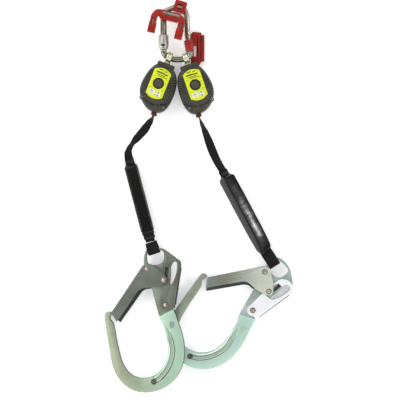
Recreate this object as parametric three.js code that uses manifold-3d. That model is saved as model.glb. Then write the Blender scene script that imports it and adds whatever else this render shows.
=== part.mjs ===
// Twin personal fall limiter: a twist-lock carabiner, two retracting webbing units, two shock packs
// and two large scaffold hooks, lying flat. Millimetres, +Z up. X runs across, Y runs up the lanyard
// from the hooks to the carabiner. The left hook lies over one limb of the right hook.

import * as THREE from 'three';
import { mergeVertices } from 'three/addons/utils/BufferGeometryUtils.js';
import Module from 'manifold-3d';

const wasm = await Module();
wasm.setup();

// ---------------------------------------------------------------- driving dimensions

const GAP = 0.35;                 // air left between pieces that rest on each other
const ROD_R = 5.9;                // carabiner rod radius
const CARABINER_Z = 23;           // height of the carabiner's middle plane
const GATE_X = -25;               // gate and twist sleeve axis
const GATE_PIVOT_Y = 84;
const GATE_FOOT_Y = 19.5;         // lower end of the gate rod
const GATE_R = 6.9;               // gate rod above the sleeve
const SLEEVE_R = 10.5;
const SLEEVE_BOTTOM_Y = 18;
const SLEEVE_TOP_Y = 48;
const NOSE_END_Y = 16.6;

const CASE_DEPTH = 46;            // retracting unit, front to back
const CASE_INNER_HALF = 36.1;     // hub to the rim on the side of the other unit
const CASE_OUTER_HALF = 32.5;     // hub to the rim on the free side
const CASE_BOTTOM = -55.5;
const CASE_BEVEL = 8;
const CASE_WALL = 2.8;
const CASE_TOP = 36;              // shoulder height above the hub
const NECK_TOP = 44;
const NECK_HALF_WIDTH = 17.5;
const NOZZLE_Q = 13;              // sideways offset of the webbing nozzle
const NOZZLE_P = -54;
const EYE_REACH = 57.5;           // hub to the middle of the swivel eye
const EYE_INNER_R = 7.5;
const EYE_OUTER_R = 12;
const EYE_WIDTH = 8;
const COIL_R = 24.5;
const FLANGE_R = 27;
const BOSSES = [[25.5, -40.5], [-21.8, -36.5]];   // case screws, for the left-hand unit
const NECK_HALF_DEPTH = 12;

const WEB_WIDTH = 17;             // retracting webbing
const WEB_THICKNESS = 2;
const PACK_WIDTH = 27;
const PACK_THICKNESS = 24;
const LOOP_WIDTH = 24;
const LOOP_THICKNESS = 1.8;
const LOOP_INNER_HALF = 6;        // half the clear height inside the end loop

const LIMB_HALF = 6.5;            // half thickness of the forged hook limbs
const NECK_HALF = 4;              // half thickness of the hook's neck and eye
const LEVER_INNER = 4.5;          // lever side plates, from the hook's middle plane
const LEVER_OUTER = 6.6;
const GATE_INNER = 7.2;           // gate side plates
const GATE_OUTER = 9.2;
const RIVET_R = 3;
const HEAD_R = 5.6;
const HEAD_TOP = 10.5;
const LATCH_AT = [33.4, -21.8];   // latch rivet, from the gate rivet
const LEVER_AT = [37.5, -71.4];   // lever rivet, from the gate rivet

const SIDES = [
  {
    name: 'left',
    hand: 1,
    hub: [-34.4, -50.8],
    tilt: -21.5,
    // webbing route: x, y, z, twist in degrees (0 = on edge, 90 = lying flat)
    route: [
      [-32.0, -79.9, 23, 0],
      [-42.1, -105.8, 23, 0],
      [-46.0, -115.6, 22.6, 8],
      [-53.4, -127, 20, 45],
      [-64, -142, 16, 78],
      [-77, -156.6, 13, 58],
      [-88.4, -170.4, 12, 28],
      [-94.2, -181, 12, 40],
      [-95.8, -189.6, 12.2, 66],
      [-95.1, -197.4, 12.4, 88],
    ],
    packTop: [-93.9, -201.9, 12.4],
    packEnd: [-51.4, -363, 20.8],
    packRoll: 0,
    hookAt: [-56.8, -419.4, 19.8],
    hookTurn: 0,
    hookTilt: 7.6,
    fold: [14.6, 29.2],
  },
  {
    name: 'right',
    hand: -1,
    hub: [38.6, -53.4],
    tilt: 19,
    route: [
      [34.8, -82.2, 23, 0],
      [43.9, -108.7, 23, 0],
      [47, -118.4, 22.8, 4],
      [52.8, -133, 21, 26],
      [60, -150, 19, 50],
      [66.4, -167, 18, 74],
      [73.4, -185, 17.4, 96],
      [81.6, -203, 16.6, 113],
      [92.4, -221.4, 16.2, 122],
    ],
    packTop: [94.6, -225.6, 16.2],
    packEnd: [179, -383.4, 15.7],
    packRoll: -32,
    hookAt: [177.6, -425.8, 10.8],
    hookTurn: -45,
    hookTilt: 0,
    fold: [7.4, 23],
  },
];

// ---------------------------------------------------------------- materials

function finish(color, roughness, metalness) {
  return new THREE.MeshStandardMaterial({ color, roughness, metalness });
}

const POLISHED = finish(0xc9c4b4, 0.22, 1);
const STEEL = finish(0xa9a9a2, 0.35, 1);
const ZINC = finish(0xa9bba8, 0.42, 0.9);
const RIVET_STEEL = finish(0xb9b5a8, 0.28, 1);
const SHELL = finish(0x46473e, 0.62, 0);
const LABEL = finish(0xd8e41a, 0.45, 0);
const RED = finish(0xa8241c, 0.4, 0);
const NYLON = finish(0x2b2c28, 0.6, 0);
const WEBBING = finish(0x0c0c0d, 0.85, 0);
const FILM = finish(0x0a0a0b, 0.18, 0);

// ---------------------------------------------------------------- solids

// Welds a geometry's vertices, drops its flat triangles and turns its faces outwards.
function weld(geometry) {
  const bare = geometry.clone();
  bare.deleteAttribute('normal');
  bare.deleteAttribute('uv');
  const merged = mergeVertices(bare, 1e-4);
  const place = merged.getAttribute('position');
  const index = merged.getIndex().array;
  const kept = [];
  let volume = 0;
  const a = new THREE.Vector3();
  const b = new THREE.Vector3();
  const c = new THREE.Vector3();
  for (let i = 0; i < index.length; i += 3) {
    const [p, q, r] = [index[i], index[i + 1], index[i + 2]];
    if (p === q || q === r || r === p) continue;
    kept.push(p, q, r);
    a.fromBufferAttribute(place, p);
    b.fromBufferAttribute(place, q);
    c.fromBufferAttribute(place, r);
    volume += a.dot(b.cross(c));
  }
  if (volume < 0) kept.reverse();
  merged.setIndex(kept);
  return merged;
}

function solid(geometry) {
  const closed = weld(geometry);
  const vertProperties = new Float32Array(closed.getAttribute('position').array);
  const triVerts = new Uint32Array(closed.getIndex().array);
  return new wasm.Manifold(new wasm.Mesh({ numProp: 3, vertProperties, triVerts }));
}

function meshOf(manifold) {
  const mesh = manifold.getMesh();
  const geometry = new THREE.BufferGeometry();
  geometry.setAttribute('position', new THREE.BufferAttribute(new Float32Array(mesh.vertProperties), 3));
  geometry.setIndex(new THREE.BufferAttribute(new Uint32Array(mesh.triVerts), 1));
  geometry.computeVertexNormals();
  return geometry;
}

function join(...geometries) {
  return meshOf(geometries.map(solid).reduce((sum, next) => sum.add(next)));
}

function cut(base, ...tools) {
  return meshOf(tools.map(solid).reduce((rest, tool) => rest.subtract(tool), solid(base)));
}

function keepInside(base, tool) {
  return meshOf(solid(base).intersect(solid(tool)));
}

// A flat outline standing between two heights; its rim runs one way round and its holes the other.
function prism(shape, low, high, segments = 8) {
  const clockwise = THREE.ShapeUtils.isClockWise;
  const points = shape.extractPoints(segments);
  const rim = clockwise(points.shape) ? points.shape.reverse() : points.shape;
  const plain = new THREE.Shape(rim);
  plain.holes = points.holes.map((hole) => new THREE.Path(clockwise(hole) ? hole : hole.reverse()));
  const geometry = new THREE.ExtrudeGeometry(plain, { depth: high - low, bevelEnabled: false });
  return geometry.translate(0, 0, low);
}

// A profile of [radius, height] pairs turned about Z.
function turned(profile, segments = 16) {
  const points = profile.map(([r, h]) => new THREE.Vector2(r, h));
  return weld(new THREE.LatheGeometry(points, segments)).rotateX(Math.PI / 2);
}

function disc(radius, low, high, segments = 16) {
  return turned([[0, low], [radius, low], [radius, high], [0, high]], segments);
}

function ring(inner, outer, low, high, segments = 24) {
  return turned([[inner, low], [outer, low], [outer, high], [inner, high], [inner, low]], segments);
}

function block(x0, x1, y0, y1, z0, z1) {
  const geometry = new THREE.BoxGeometry(x1 - x0, y1 - y0, z1 - z0);
  return geometry.translate((x0 + x1) / 2, (y0 + y1) / 2, (z0 + z1) / 2);
}

function outline(points) {
  return new THREE.Shape(points.map(([x, y]) => new THREE.Vector2(x, y)));
}

function roundedBox(halfX, halfY, radius) {
  const shape = new THREE.Shape();
  shape.moveTo(radius - halfX, -halfY);
  shape.lineTo(halfX - radius, -halfY);
  shape.absarc(halfX - radius, radius - halfY, radius, -Math.PI / 2, 0, false);
  shape.absarc(halfX - radius, halfY - radius, radius, 0, Math.PI / 2, false);
  shape.absarc(radius - halfX, halfY - radius, radius, Math.PI / 2, Math.PI, false);
  shape.absarc(radius - halfX, radius - halfY, radius, Math.PI, Math.PI * 1.5, false);
  return shape;
}

function circleShape(radius) {
  const shape = new THREE.Shape();
  shape.absarc(0, 0, radius, 0, Math.PI * 2, false);
  return shape;
}

function holeAt(x, y, radius) {
  const hole = new THREE.Path();
  hole.absarc(x, y, radius, 0, Math.PI * 2, true);
  return hole;
}

// A round rod along a smooth line through the points.
function rod(points, radius, steps, sides = 6) {
  const curve = new THREE.CatmullRomCurve3(points.map((p) => new THREE.Vector3(...p)), false, 'centripetal');
  return new THREE.ExtrudeGeometry(circleShape(radius), {
    steps,
    curveSegments: sides,
    extrudePath: curve,
  });
}

function add(group, name, geometry, material) {
  const mesh = new THREE.Mesh(weld(geometry), material);
  mesh.name = name;
  group.add(mesh);
  return mesh;
}

// ---------------------------------------------------------------- carabiner

// The rod's middle line, from the gate hinge over the top, down the spine and round to the nose.
const CARABINER_LINE = [
  [-24.6, 90.4],
  [-20.5, 95],
  [-10, 100],
  [4, 104.4],
  [15, 100.4],
  [20.4, 89],
  [22, 70],
  [23, 48],
  [26.8, 26],
  [28.6, 14],
  [27, 7],
  [23, 2.6],
  [17, 0.2],
  [10, -1.1],
  [0, -1.2],
  [-8, 0.2],
  [-15, 3],
  [-20.4, 7],
  [-23.8, 11.6],
  [-24.8, NOSE_END_Y],
];

function carabinerBody() {
  const tube = rod(CARABINER_LINE.map(([x, y]) => [x, y, 0]), ROD_R, 46, 5);
  const tongue = block(GATE_X - 4, GATE_X + 4, GATE_PIVOT_Y - 3.6, 93, -1.8, 1.8);
  const pinHole = disc(2, -4, 4, 12).translate(GATE_X, GATE_PIVOT_Y, 0);
  return cut(join(tube, tongue), pinHole);
}

function carabinerGate() {
  const shank = turned([
    [0, GATE_FOOT_Y],
    [ROD_R - 0.6, GATE_FOOT_Y],
    [ROD_R, GATE_FOOT_Y + 1],
    [ROD_R, SLEEVE_TOP_Y + 0.6],
    [GATE_R, SLEEVE_TOP_Y + 1.6],
    [GATE_R, GATE_PIVOT_Y - 5],
    [4.4, GATE_PIVOT_Y + 1.2],
    [2.6, GATE_PIVOT_Y + 2.6],
    [0, GATE_PIVOT_Y + 2.6],
  ], 16).rotateX(-Math.PI / 2).translate(GATE_X, 0, 0);
  const fork = block(GATE_X - 8, GATE_X + 8, GATE_PIVOT_Y - 6.4, GATE_PIVOT_Y + 6, -2.3, 2.3);
  const pinHole = disc(2, -8, 8, 12).translate(GATE_X, GATE_PIVOT_Y, 0);
  const collarSeat = ring(ROD_R - 1, ROD_R + 2, 0, 4.4, 16)
    .rotateX(-Math.PI / 2)
    .translate(GATE_X, SLEEVE_TOP_Y - 7, 0);
  return cut(shank, fork, pinHole, collarSeat);
}

// Barrel with a tapered lower end, its spring groove open towards the gate rod.
function twistSleeve() {
  const barrel = turned([
    [ROD_R + 0.5, SLEEVE_BOTTOM_Y],
    [7.4, SLEEVE_BOTTOM_Y],
    [9.4, SLEEVE_BOTTOM_Y + 3.4],
    [SLEEVE_R, SLEEVE_BOTTOM_Y + 7],
    [SLEEVE_R, SLEEVE_TOP_Y - 2],
    [SLEEVE_R - 1.4, SLEEVE_TOP_Y],
    [ROD_R + 0.5, SLEEVE_TOP_Y],
    [ROD_R + 0.5, SLEEVE_TOP_Y - 2.4],
    [8.6, SLEEVE_TOP_Y - 2.4],
    [8.6, SLEEVE_TOP_Y - 7.2],
    [ROD_R + 0.5, SLEEVE_TOP_Y - 7.2],
    [ROD_R + 0.5, SLEEVE_BOTTOM_Y],
  ], 18).rotateX(-Math.PI / 2).translate(GATE_X, 0, 0);
  const trigger = disc(2.6, 7, 12, 12).translate(GATE_X - 1.4, SLEEVE_BOTTOM_Y + 10, 0);
  return cut(barrel, trigger);
}

// The torsion spring, drawn as the closed coil stack it makes.
function sleeveSpring() {
  return ring(5.3, 8.2, 0, 3.6, 16).rotateX(-Math.PI / 2).translate(GATE_X, SLEEVE_TOP_Y - 6.6, 0);
}

function gateHingePin() {
  return turned([[0, -5.2], [1.65, -5.2], [1.65, 5.2], [0, 5.2]], 12).translate(GATE_X, GATE_PIVOT_Y, 0);
}

// ---------------------------------------------------------------- bridge, collar and keeper

const BRIDGE_Z = 18.2;            // bridge plane above the carabiner's plane
const BRIDGE_LINE = [
  [-47.4, 62],
  [-45, 74],
  [-42.4, 84],
  [-36, 90.2],
  [-27, 89.6],
  [-10, 85.4],
  [4, 82],
  [10.4, 76.4],
  [10.4, 66],
  [7.4, 54],
];

function bridgeBar() {
  return rod(BRIDGE_LINE.map(([x, y]) => [x, y, BRIDGE_Z]), 4.5, 20, 4);
}

// The moulding follows the bar from foot to foot; a long window shows the bar along the crossbar.
function bridgeJacket() {
  const line = new THREE.CatmullRomCurve3(
    BRIDGE_LINE.map(([x, y]) => new THREE.Vector3(x, y, BRIDGE_Z)),
    false,
    'centripetal',
  );
  const wall = new THREE.ExtrudeGeometry(roundedBox(6.6, 7, 2.4), {
    steps: 18,
    curveSegments: 1,
    extrudePath: line,
  });
  const feet = [[-47.6, 60.8, -12], [6, 47.4, -14]].map(([x, y, turn]) => {
    const foot = prism(roundedBox(7.7, 10.4, 1.4), -7.2, 7.2, 2);
    return foot.rotateZ(THREE.MathUtils.degToRad(turn)).translate(x, y, BRIDGE_Z);
  });
  const skirt = prism(outline([[-36, 90], [6, 80], [3, 69.6], [-32, 78.4]]), BRIDGE_Z - 6.6, BRIDGE_Z + 4);
  const bore = rod(BRIDGE_LINE.map(([x, y]) => [x, y, BRIDGE_Z]), 4.5 + GAP, 20, 4);
  const window = prism(outline([[-25, 98], [9, 89.6], [7, 79], [-26, 86.8]]), BRIDGE_Z + 1, BRIDGE_Z + 9);
  const sights = [[-45.6, 74.4, -12], [10.2, 63.4, -6]].map(([x, y, turn]) => {
    const sight = prism(roundedBox(2.6, 6, 1), 1, 9, 2);
    return sight.rotateZ(THREE.MathUtils.degToRad(turn)).translate(x, y, BRIDGE_Z);
  });
  return cut(join(wall, skirt, ...feet), bore, window, ...sights);
}

// Square block threaded on the top bend, with a window over the rod.
function bridgeCollar() {
  const cube = prism(roundedBox(12, 12, 1.6), -9, 9.6, 1);
  cube.rotateZ(THREE.MathUtils.degToRad(-17)).translate(8.2, 103.4, 0);
  const path = CARABINER_LINE.slice(0, 9).map(([x, y]) => [x, y, 0]);
  const channel = rod(path, ROD_R + 0.9, 16, 5);
  const window = prism(roundedBox(5.4, 5, 1.2), 2, 12, 2);
  window.rotateZ(THREE.MathUtils.degToRad(-17)).translate(7.6, 103.2, 0);
  return cut(cube, channel, window);
}

// Sleeve round the spine and a ribbed plate that lies beside it, lower than the sleeve.
function webKeeper() {
  const barrel = ring(ROD_R + 0.7, 9.4, 0, 22, 16)
    .rotateX(-Math.PI / 2)
    .rotateZ(THREE.MathUtils.degToRad(9))
    .translate(28.4, 15.6, 0);
  const plate = prism(outline([
    [29.4, -9],
    [39, -12],
    [46.4, -12],
    [50.4, -5],
    [57, -3],
    [57, 49],
    [51, 49.4],
    [51, 54],
    [33, 55.4],
    [29.4, 50.6],
  ]), -21.4, -12.4);
  const slot = block(35.6, 40.4, 6, 27, -30, 10);
  const ribs = [46, 53.4].map((x) => block(x - 1.1, x + 1.1, -2, 48, -13, -10.6));
  const web = block(29.6, 33.6, 14, 40, -14, 6);
  const clear = rod([[29, -10, 0], [28.6, 13, 0], [26.8, 26, 0], [23, 48, 0]], ROD_R + 0.8, 8, 5);
  const opening = rod([[20, -2, 0], [25, 8, 0], [28.4, 18, 0]], ROD_R + 1, 8, 5);
  return cut(join(plate, web, barrel, ...ribs), slot, clear, opening);
}

function connector() {
  const group = new THREE.Group();
  group.name = 'connector';
  group.position.z = CARABINER_Z;
  add(group, 'carabiner_body', carabinerBody(), POLISHED);
  add(group, 'carabiner_gate', carabinerGate(), POLISHED);
  add(group, 'gate_hinge_pin', gateHingePin(), STEEL);
  add(group, 'twist_sleeve', twistSleeve(), STEEL);
  add(group, 'sleeve_spring', sleeveSpring(), STEEL);
  add(group, 'bridge_bar', bridgeBar(), POLISHED);
  add(group, 'bridge_jacket', bridgeJacket(), RED);
  add(group, 'bridge_collar', bridgeCollar(), RED);
  add(group, 'web_keeper', webKeeper(), RED);
  return group;
}

// ---------------------------------------------------------------- retracting unit

// Unit frame: origin on the drum axis at the middle of the case, q across, p up towards the neck.
function caseOutline(hand, inset) {
  const inner = CASE_INNER_HALF - inset;
  const outer = CASE_OUTER_HALF - inset;
  const low = CASE_BOTTOM + inset;
  const top = CASE_TOP - inset;
  const shoulder = NECK_HALF_WIDTH - inset * 0.5;
  const shape = new THREE.Shape();
  shape.moveTo(hand * 9, low);
  shape.bezierCurveTo(-hand * 12, low, -hand * outer, -36, -hand * outer, -12);
  shape.bezierCurveTo(-hand * outer, 10, -hand * (shoulder + 8), top - 8, -hand * shoulder, top);
  shape.lineTo(hand * shoulder, top);
  shape.bezierCurveTo(hand * (shoulder + 14), top - 8, hand * inner, 10, hand * inner, -12);
  shape.bezierCurveTo(hand * inner, -38, hand * 30, low, hand * 9, low);
  return shape;
}

function bevelled(shape, halfDepth, bevel) {
  const geometry = new THREE.ExtrudeGeometry(shape, {
    depth: 2 * (halfDepth - bevel),
    bevelEnabled: true,
    bevelThickness: bevel,
    bevelSize: bevel,
    bevelOffset: -bevel,
    bevelSegments: 2,
    curveSegments: 6,
  });
  return geometry.translate(0, 0, bevel - halfDepth);
}

function caseShell(hand) {
  const half = CASE_DEPTH / 2;
  const outer = bevelled(caseOutline(hand, 0), half, CASE_BEVEL);
  const neck = block(-NECK_HALF_WIDTH, NECK_HALF_WIDTH, 26, NECK_TOP, -NECK_HALF_DEPTH, NECK_HALF_DEPTH);
  const hollow = bevelled(caseOutline(hand, CASE_WALL), half - CASE_WALL, CASE_BEVEL - 1.5);
  const places = BOSSES.map(([q, p]) => [hand * q, p]);
  const bosses = places.map(([q, p]) => disc(4.6, -13, 13, 12).translate(q, p, 0));
  const holes = places.map(([q, p]) => disc(1.95, -30, 30, 8).translate(q, p, 0));
  const spotFaces = places.map(([q, p]) => disc(3.7, 13, 30, 12).translate(q, p, 0));
  const nozzle = block(hand * NOZZLE_Q - 5.3, hand * NOZZLE_Q + 5.3, NOZZLE_P - 4, NOZZLE_P + 14, -11.3, 11.3);
  const neckBore = disc(5.6, 30, 60, 12).rotateX(-Math.PI / 2);
  const body = join(outer, neck, ...bosses);
  return cut(body, hollow, nozzle, neckBore, ...holes, ...spotFaces);
}

function halfOf(geometry, front) {
  const low = front ? GAP / 2 : -60;
  const high = front ? 60 : -GAP / 2;
  return keepInside(geometry, block(-90, 90, -90, 90, low, high));
}

// Forged eye, shank and riveted foot in one piece; the eye's hole runs across the unit.
function swivelEye() {
  const eye = turned([
    [EYE_INNER_R + 0.6, -EYE_WIDTH / 2],
    [EYE_OUTER_R - 1.4, -EYE_WIDTH / 2],
    [EYE_OUTER_R, 0],
    [EYE_OUTER_R - 1.4, EYE_WIDTH / 2],
    [EYE_INNER_R + 0.6, EYE_WIDTH / 2],
    [EYE_INNER_R, 0],
    [EYE_INNER_R + 0.6, -EYE_WIDTH / 2],
  ], 16).rotateY(Math.PI / 2).translate(0, EYE_REACH, 0);
  const shank = turned([
    [0, CASE_TOP - 3.6 - CASE_WALL],
    [7.4, CASE_TOP - 3.6 - CASE_WALL],
    [7.4, CASE_TOP - GAP - CASE_WALL],
    [5.1, CASE_TOP - GAP - CASE_WALL],
    [5.1, EYE_REACH - EYE_OUTER_R + 1],
    [3.6, EYE_REACH - EYE_INNER_R - 1.6],
    [0, EYE_REACH - EYE_INNER_R - 1.6],
  ], 12).rotateX(-Math.PI / 2);
  return join(eye, shank);
}

function labelPlate() {
  const shape = new THREE.Shape();
  shape.moveTo(-17.5, -25);
  shape.quadraticCurveTo(0, -38, 17.5, -25);
  shape.lineTo(17.5, 25);
  shape.quadraticCurveTo(0, 38, -17.5, 25);
  shape.lineTo(-17.5, -25);
  shape.holes.push(holeAt(0, 0, 11.2));
  return prism(shape, CASE_DEPTH / 2 + GAP, CASE_DEPTH / 2 + 1.3, 8);
}

function hubCap() {
  const base = CASE_DEPTH / 2 + GAP;
  return turned([
    [0, base],
    [10.6, base],
    [10.6, base + 1.6],
    [9, base + 2.4],
    [8, base + 2.4],
    [7.6, base + 1.7],
    [0, base + 1.7],
  ], 18);
}

function drum() {
  return turned([
    [4.4, -14.4],
    [FLANGE_R, -14.4],
    [FLANGE_R, -12.6],
    [9, -12.6],
    [9, 9.6],
    [FLANGE_R, 9.6],
    [FLANGE_R, 11.4],
    [4.4, 11.4],
    [4.4, -14.4],
  ], 20);
}

function ratchetWheel() {
  const teeth = 12;
  const shape = new THREE.Shape();
  for (let i = 0; i < teeth; i += 1) {
    const root = (i / teeth) * Math.PI * 2;
    const tip = ((i + 0.82) / teeth) * Math.PI * 2;
    const from = new THREE.Vector2(15.5 * Math.cos(root), 15.5 * Math.sin(root));
    if (i === 0) shape.moveTo(from.x, from.y);
    else shape.lineTo(from.x, from.y);
    shape.lineTo(19 * Math.cos(tip), 19 * Math.sin(tip));
  }
  shape.holes.push(holeAt(0, 0, 4.4));
  return prism(shape, -18.2, -14.8, 5);
}

function lockingPawl() {
  const shape = outline([[-2.2, -3], [2.4, -3], [4.2, 5], [2.2, 9.4], [-1, 9.4], [-2.6, 4]]);
  return prism(shape, -18.2, -14.8);
}

function webGuide(hand) {
  const middle = hand * NOZZLE_Q;
  const body = block(middle - 4.9, middle + 4.9, NOZZLE_P - 0.6, NOZZLE_P + 9, -10.9, 10.9);
  const slot = block(middle - 1.9, middle + 1.9, NOZZLE_P - 4, NOZZLE_P + 12, -9.2, 9.2);
  return cut(body, slot);
}

function webStop(hand) {
  const middle = hand * NOZZLE_Q;
  const bar = prism(roundedBox(5.6, 3, 1.2), -11.4, 11.4, 2).translate(middle, NOZZLE_P - 5, 0);
  const slot = block(middle - 2.2, middle + 2.2, NOZZLE_P - 10, NOZZLE_P + 2, -9.4, 9.4);
  return cut(bar, slot);
}

function caseScrew([q, p], hand) {
  return turned([
    [0, -12.6],
    [1.6, -12.6],
    [1.6, 13.3],
    [3.2, 13.3],
    [2.8, 15],
    [0, 15],
  ], 8).translate(hand * q, p, 0);
}

function retractingUnit(side) {
  const group = new THREE.Group();
  const { hand, name, hub, tilt } = side;
  group.name = `${name}_unit`;
  group.position.set(hub[0], hub[1], CASE_DEPTH / 2);
  group.rotation.z = THREE.MathUtils.degToRad(tilt);
  const shell = caseShell(hand);
  add(group, `${name}_front_shell`, halfOf(shell, true), SHELL);
  add(group, `${name}_rear_shell`, halfOf(shell, false), SHELL);
  add(group, `${name}_label_plate`, labelPlate(), LABEL);
  add(group, `${name}_hub_cap`, hubCap(), NYLON);
  add(group, `${name}_swivel_eye`, swivelEye(), STEEL);
  add(group, `${name}_axle`, disc(4, -19.8, 19.8, 16), STEEL);
  add(group, `${name}_drum`, drum(), NYLON);
  add(group, `${name}_web_coil`, ring(9.4, COIL_R, -12.2, 9.2, 20), WEBBING);
  add(group, `${name}_main_spring`, ring(5, 22, 12, 18.6, 16), STEEL);
  add(group, `${name}_ratchet`, ratchetWheel(), STEEL);
  const pawl = add(group, `${name}_pawl`, lockingPawl(), STEEL);
  pawl.position.set(hand * 23, -9, 0);
  add(group, `${name}_web_guide`, webGuide(hand), NYLON);
  add(group, `${name}_web_stop`, webStop(hand), RED);
  BOSSES.forEach((at, i) => add(group, `${name}_case_screw_${i + 1}`, caseScrew(at, hand), STEEL));
  return group;
}

// ---------------------------------------------------------------- webbing and shock pack

// A flat strap swept along a route whose rows hold x, y, z and the twist about the line.
function webStrap(route) {
  const line = new THREE.CatmullRomCurve3(route.map(([x, y, z]) => new THREE.Vector3(x, y, z)));
  const twists = new THREE.CatmullRomCurve3(route.map((row) => new THREE.Vector3(row[3], 0, 0)));
  const section = [[-1, -1], [1, -1], [1, 1], [-1, 1]].map(([x, y]) => [x * WEB_WIDTH / 2, y * WEB_THICKNESS / 2]);
  const flat = new THREE.ExtrudeGeometry(outline(section), { depth: 1, steps: 30, bevelEnabled: false });
  const place = flat.getAttribute('position');
  const up = new THREE.Vector3(0, 0, 1);
  for (let i = 0; i < place.count; i += 1) {
    const t = place.getZ(i);
    const along = line.getTangent(t);
    const rise = up.clone().addScaledVector(along, -up.dot(along)).normalize();
    const across = along.clone().cross(rise);
    const twist = THREE.MathUtils.degToRad(twists.getPoint(t).x);
    const wide = rise.multiplyScalar(Math.cos(twist)).addScaledVector(across, Math.sin(twist));
    const thick = along.clone().cross(wide);
    const at = line.getPoint(t);
    at.addScaledVector(wide, place.getX(i)).addScaledVector(thick, place.getY(i));
    place.setXYZ(i, at.x, at.y, at.z);
  }
  return flat;
}

// Turns a group so that its z runs from one point to another and its y leans towards up.
function alongLine(group, from, to, up, roll) {
  const z = to.clone().sub(from).normalize();
  const x = up.clone().cross(z).normalize();
  const y = z.clone().cross(x);
  group.quaternion.setFromRotationMatrix(new THREE.Matrix4().makeBasis(x, y, z));
  group.rotateZ(THREE.MathUtils.degToRad(roll));
  group.position.copy(from);
}

function packSleeve(length) {
  const outside = prism(roundedBox(PACK_WIDTH / 2, PACK_THICKNESS / 2, 4), 10, length - 3, 3);
  const inside = prism(roundedBox(PACK_WIDTH / 2 - 1, PACK_THICKNESS / 2 - 1, 3.2), 0, length, 3);
  return cut(outside, inside);
}

// Folded tear webbing: a full core with a thinner tail at each end.
function tearWebbing(length) {
  const core = prism(roundedBox(PACK_WIDTH / 2 - 1.5, PACK_THICKNESS / 2 - 1.5, 2.4), 12, length - 5, 2);
  const tail = prism(roundedBox(9.5, 3.4, 1.4), 0, length, 2);
  return join(core, tail);
}

// Band of webbing folded round the hook's eye; z runs from the pack to the fold.
function endLoop(length) {
  const outer = LOOP_INNER_HALF + LOOP_THICKNESS;
  const clear = new THREE.Path();
  const band = new THREE.Shape();
  band.moveTo(0, -3);
  band.lineTo(3, -3.2);
  band.lineTo(11, -outer);
  band.absarc(length - outer, 0, outer, -Math.PI / 2, Math.PI / 2, false);
  band.lineTo(11, outer);
  band.lineTo(3, 3.2);
  band.lineTo(0, 3);
  clear.moveTo(5, -1);
  clear.lineTo(11.4, -LOOP_INNER_HALF);
  clear.absarc(length - outer, 0, LOOP_INNER_HALF, -Math.PI / 2, Math.PI / 2, false);
  clear.lineTo(11.4, LOOP_INNER_HALF);
  clear.lineTo(5, 1);
  band.holes.push(clear);
  return prism(band, -LOOP_WIDTH / 2, LOOP_WIDTH / 2, 5).rotateY(-Math.PI / 2);
}

function hookFrame(side) {
  const group = new THREE.Group();
  group.name = `${side.name}_hook`;
  group.position.set(...side.hookAt);
  group.rotation.order = 'ZYX';
  group.rotation.z = THREE.MathUtils.degToRad(side.hookTurn);
  group.rotation.y = THREE.MathUtils.degToRad(-side.hookTilt);
  group.updateMatrixWorld(true);
  return group;
}

function webbingLeg(side, hook) {
  const leg = new THREE.Group();
  const top = new THREE.Vector3(...side.packTop);
  const end = new THREE.Vector3(...side.packEnd);
  const up = new THREE.Vector3(0, 0, 1);
  add(leg, `${side.name}_web_strap`, webStrap(side.route), WEBBING);
  const pack = new THREE.Group();
  pack.name = `${side.name}_pack`;
  alongLine(pack, top, end, up, side.packRoll);
  const length = top.distanceTo(end);
  add(pack, `${side.name}_shock_pack`, packSleeve(length), FILM);
  add(pack, `${side.name}_tear_webbing`, tearWebbing(length), WEBBING);
  leg.add(pack);
  const loop = new THREE.Group();
  loop.name = `${side.name}_loop`;
  const fold = new THREE.Vector3(side.fold[0], side.fold[1], 0).applyMatrix4(hook.matrixWorld);
  const normal = new THREE.Vector3(0, 0, 1).transformDirection(hook.matrixWorld);
  const start = end.clone().addScaledVector(fold.clone().sub(end).normalize(), GAP + 3);
  alongLine(loop, start, fold, normal, 0);
  add(loop, `${side.name}_end_loop`, endLoop(start.distanceTo(fold)), WEBBING);
  leg.add(loop);
  return leg;
}

// ---------------------------------------------------------------- scaffold hook

// Hook frame: origin on the gate rivet, u across towards the spine, v up towards the eye.
function limbShape() {
  const shape = new THREE.Shape();
  shape.moveTo(24.6, -95);
  shape.lineTo(53, -81);
  shape.lineTo(57, -90);
  shape.bezierCurveTo(63, -111, 75, -134, 75, -164);
  shape.bezierCurveTo(75, -214, 40, -247, -5, -247);
  shape.bezierCurveTo(-40, -247, -65, -220, -72, -186);
  shape.lineTo(-86, -102);
  shape.absarc(-78.6, -94.6, 8, Math.PI * 1.1, Math.PI * 0.28, true);
  shape.lineTo(-76.4, -100.6);
  shape.lineTo(-69, -110);
  shape.bezierCurveTo(-64, -137, -60, -158, -56, -172);
  shape.bezierCurveTo(-50, -200, -34, -219, -10, -219);
  shape.bezierCurveTo(18, -219, 43, -194, 42.6, -162);
  shape.bezierCurveTo(42.4, -145, 37, -128, 33.6, -112);
  shape.lineTo(26, -100.6);
  return shape;
}

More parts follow.
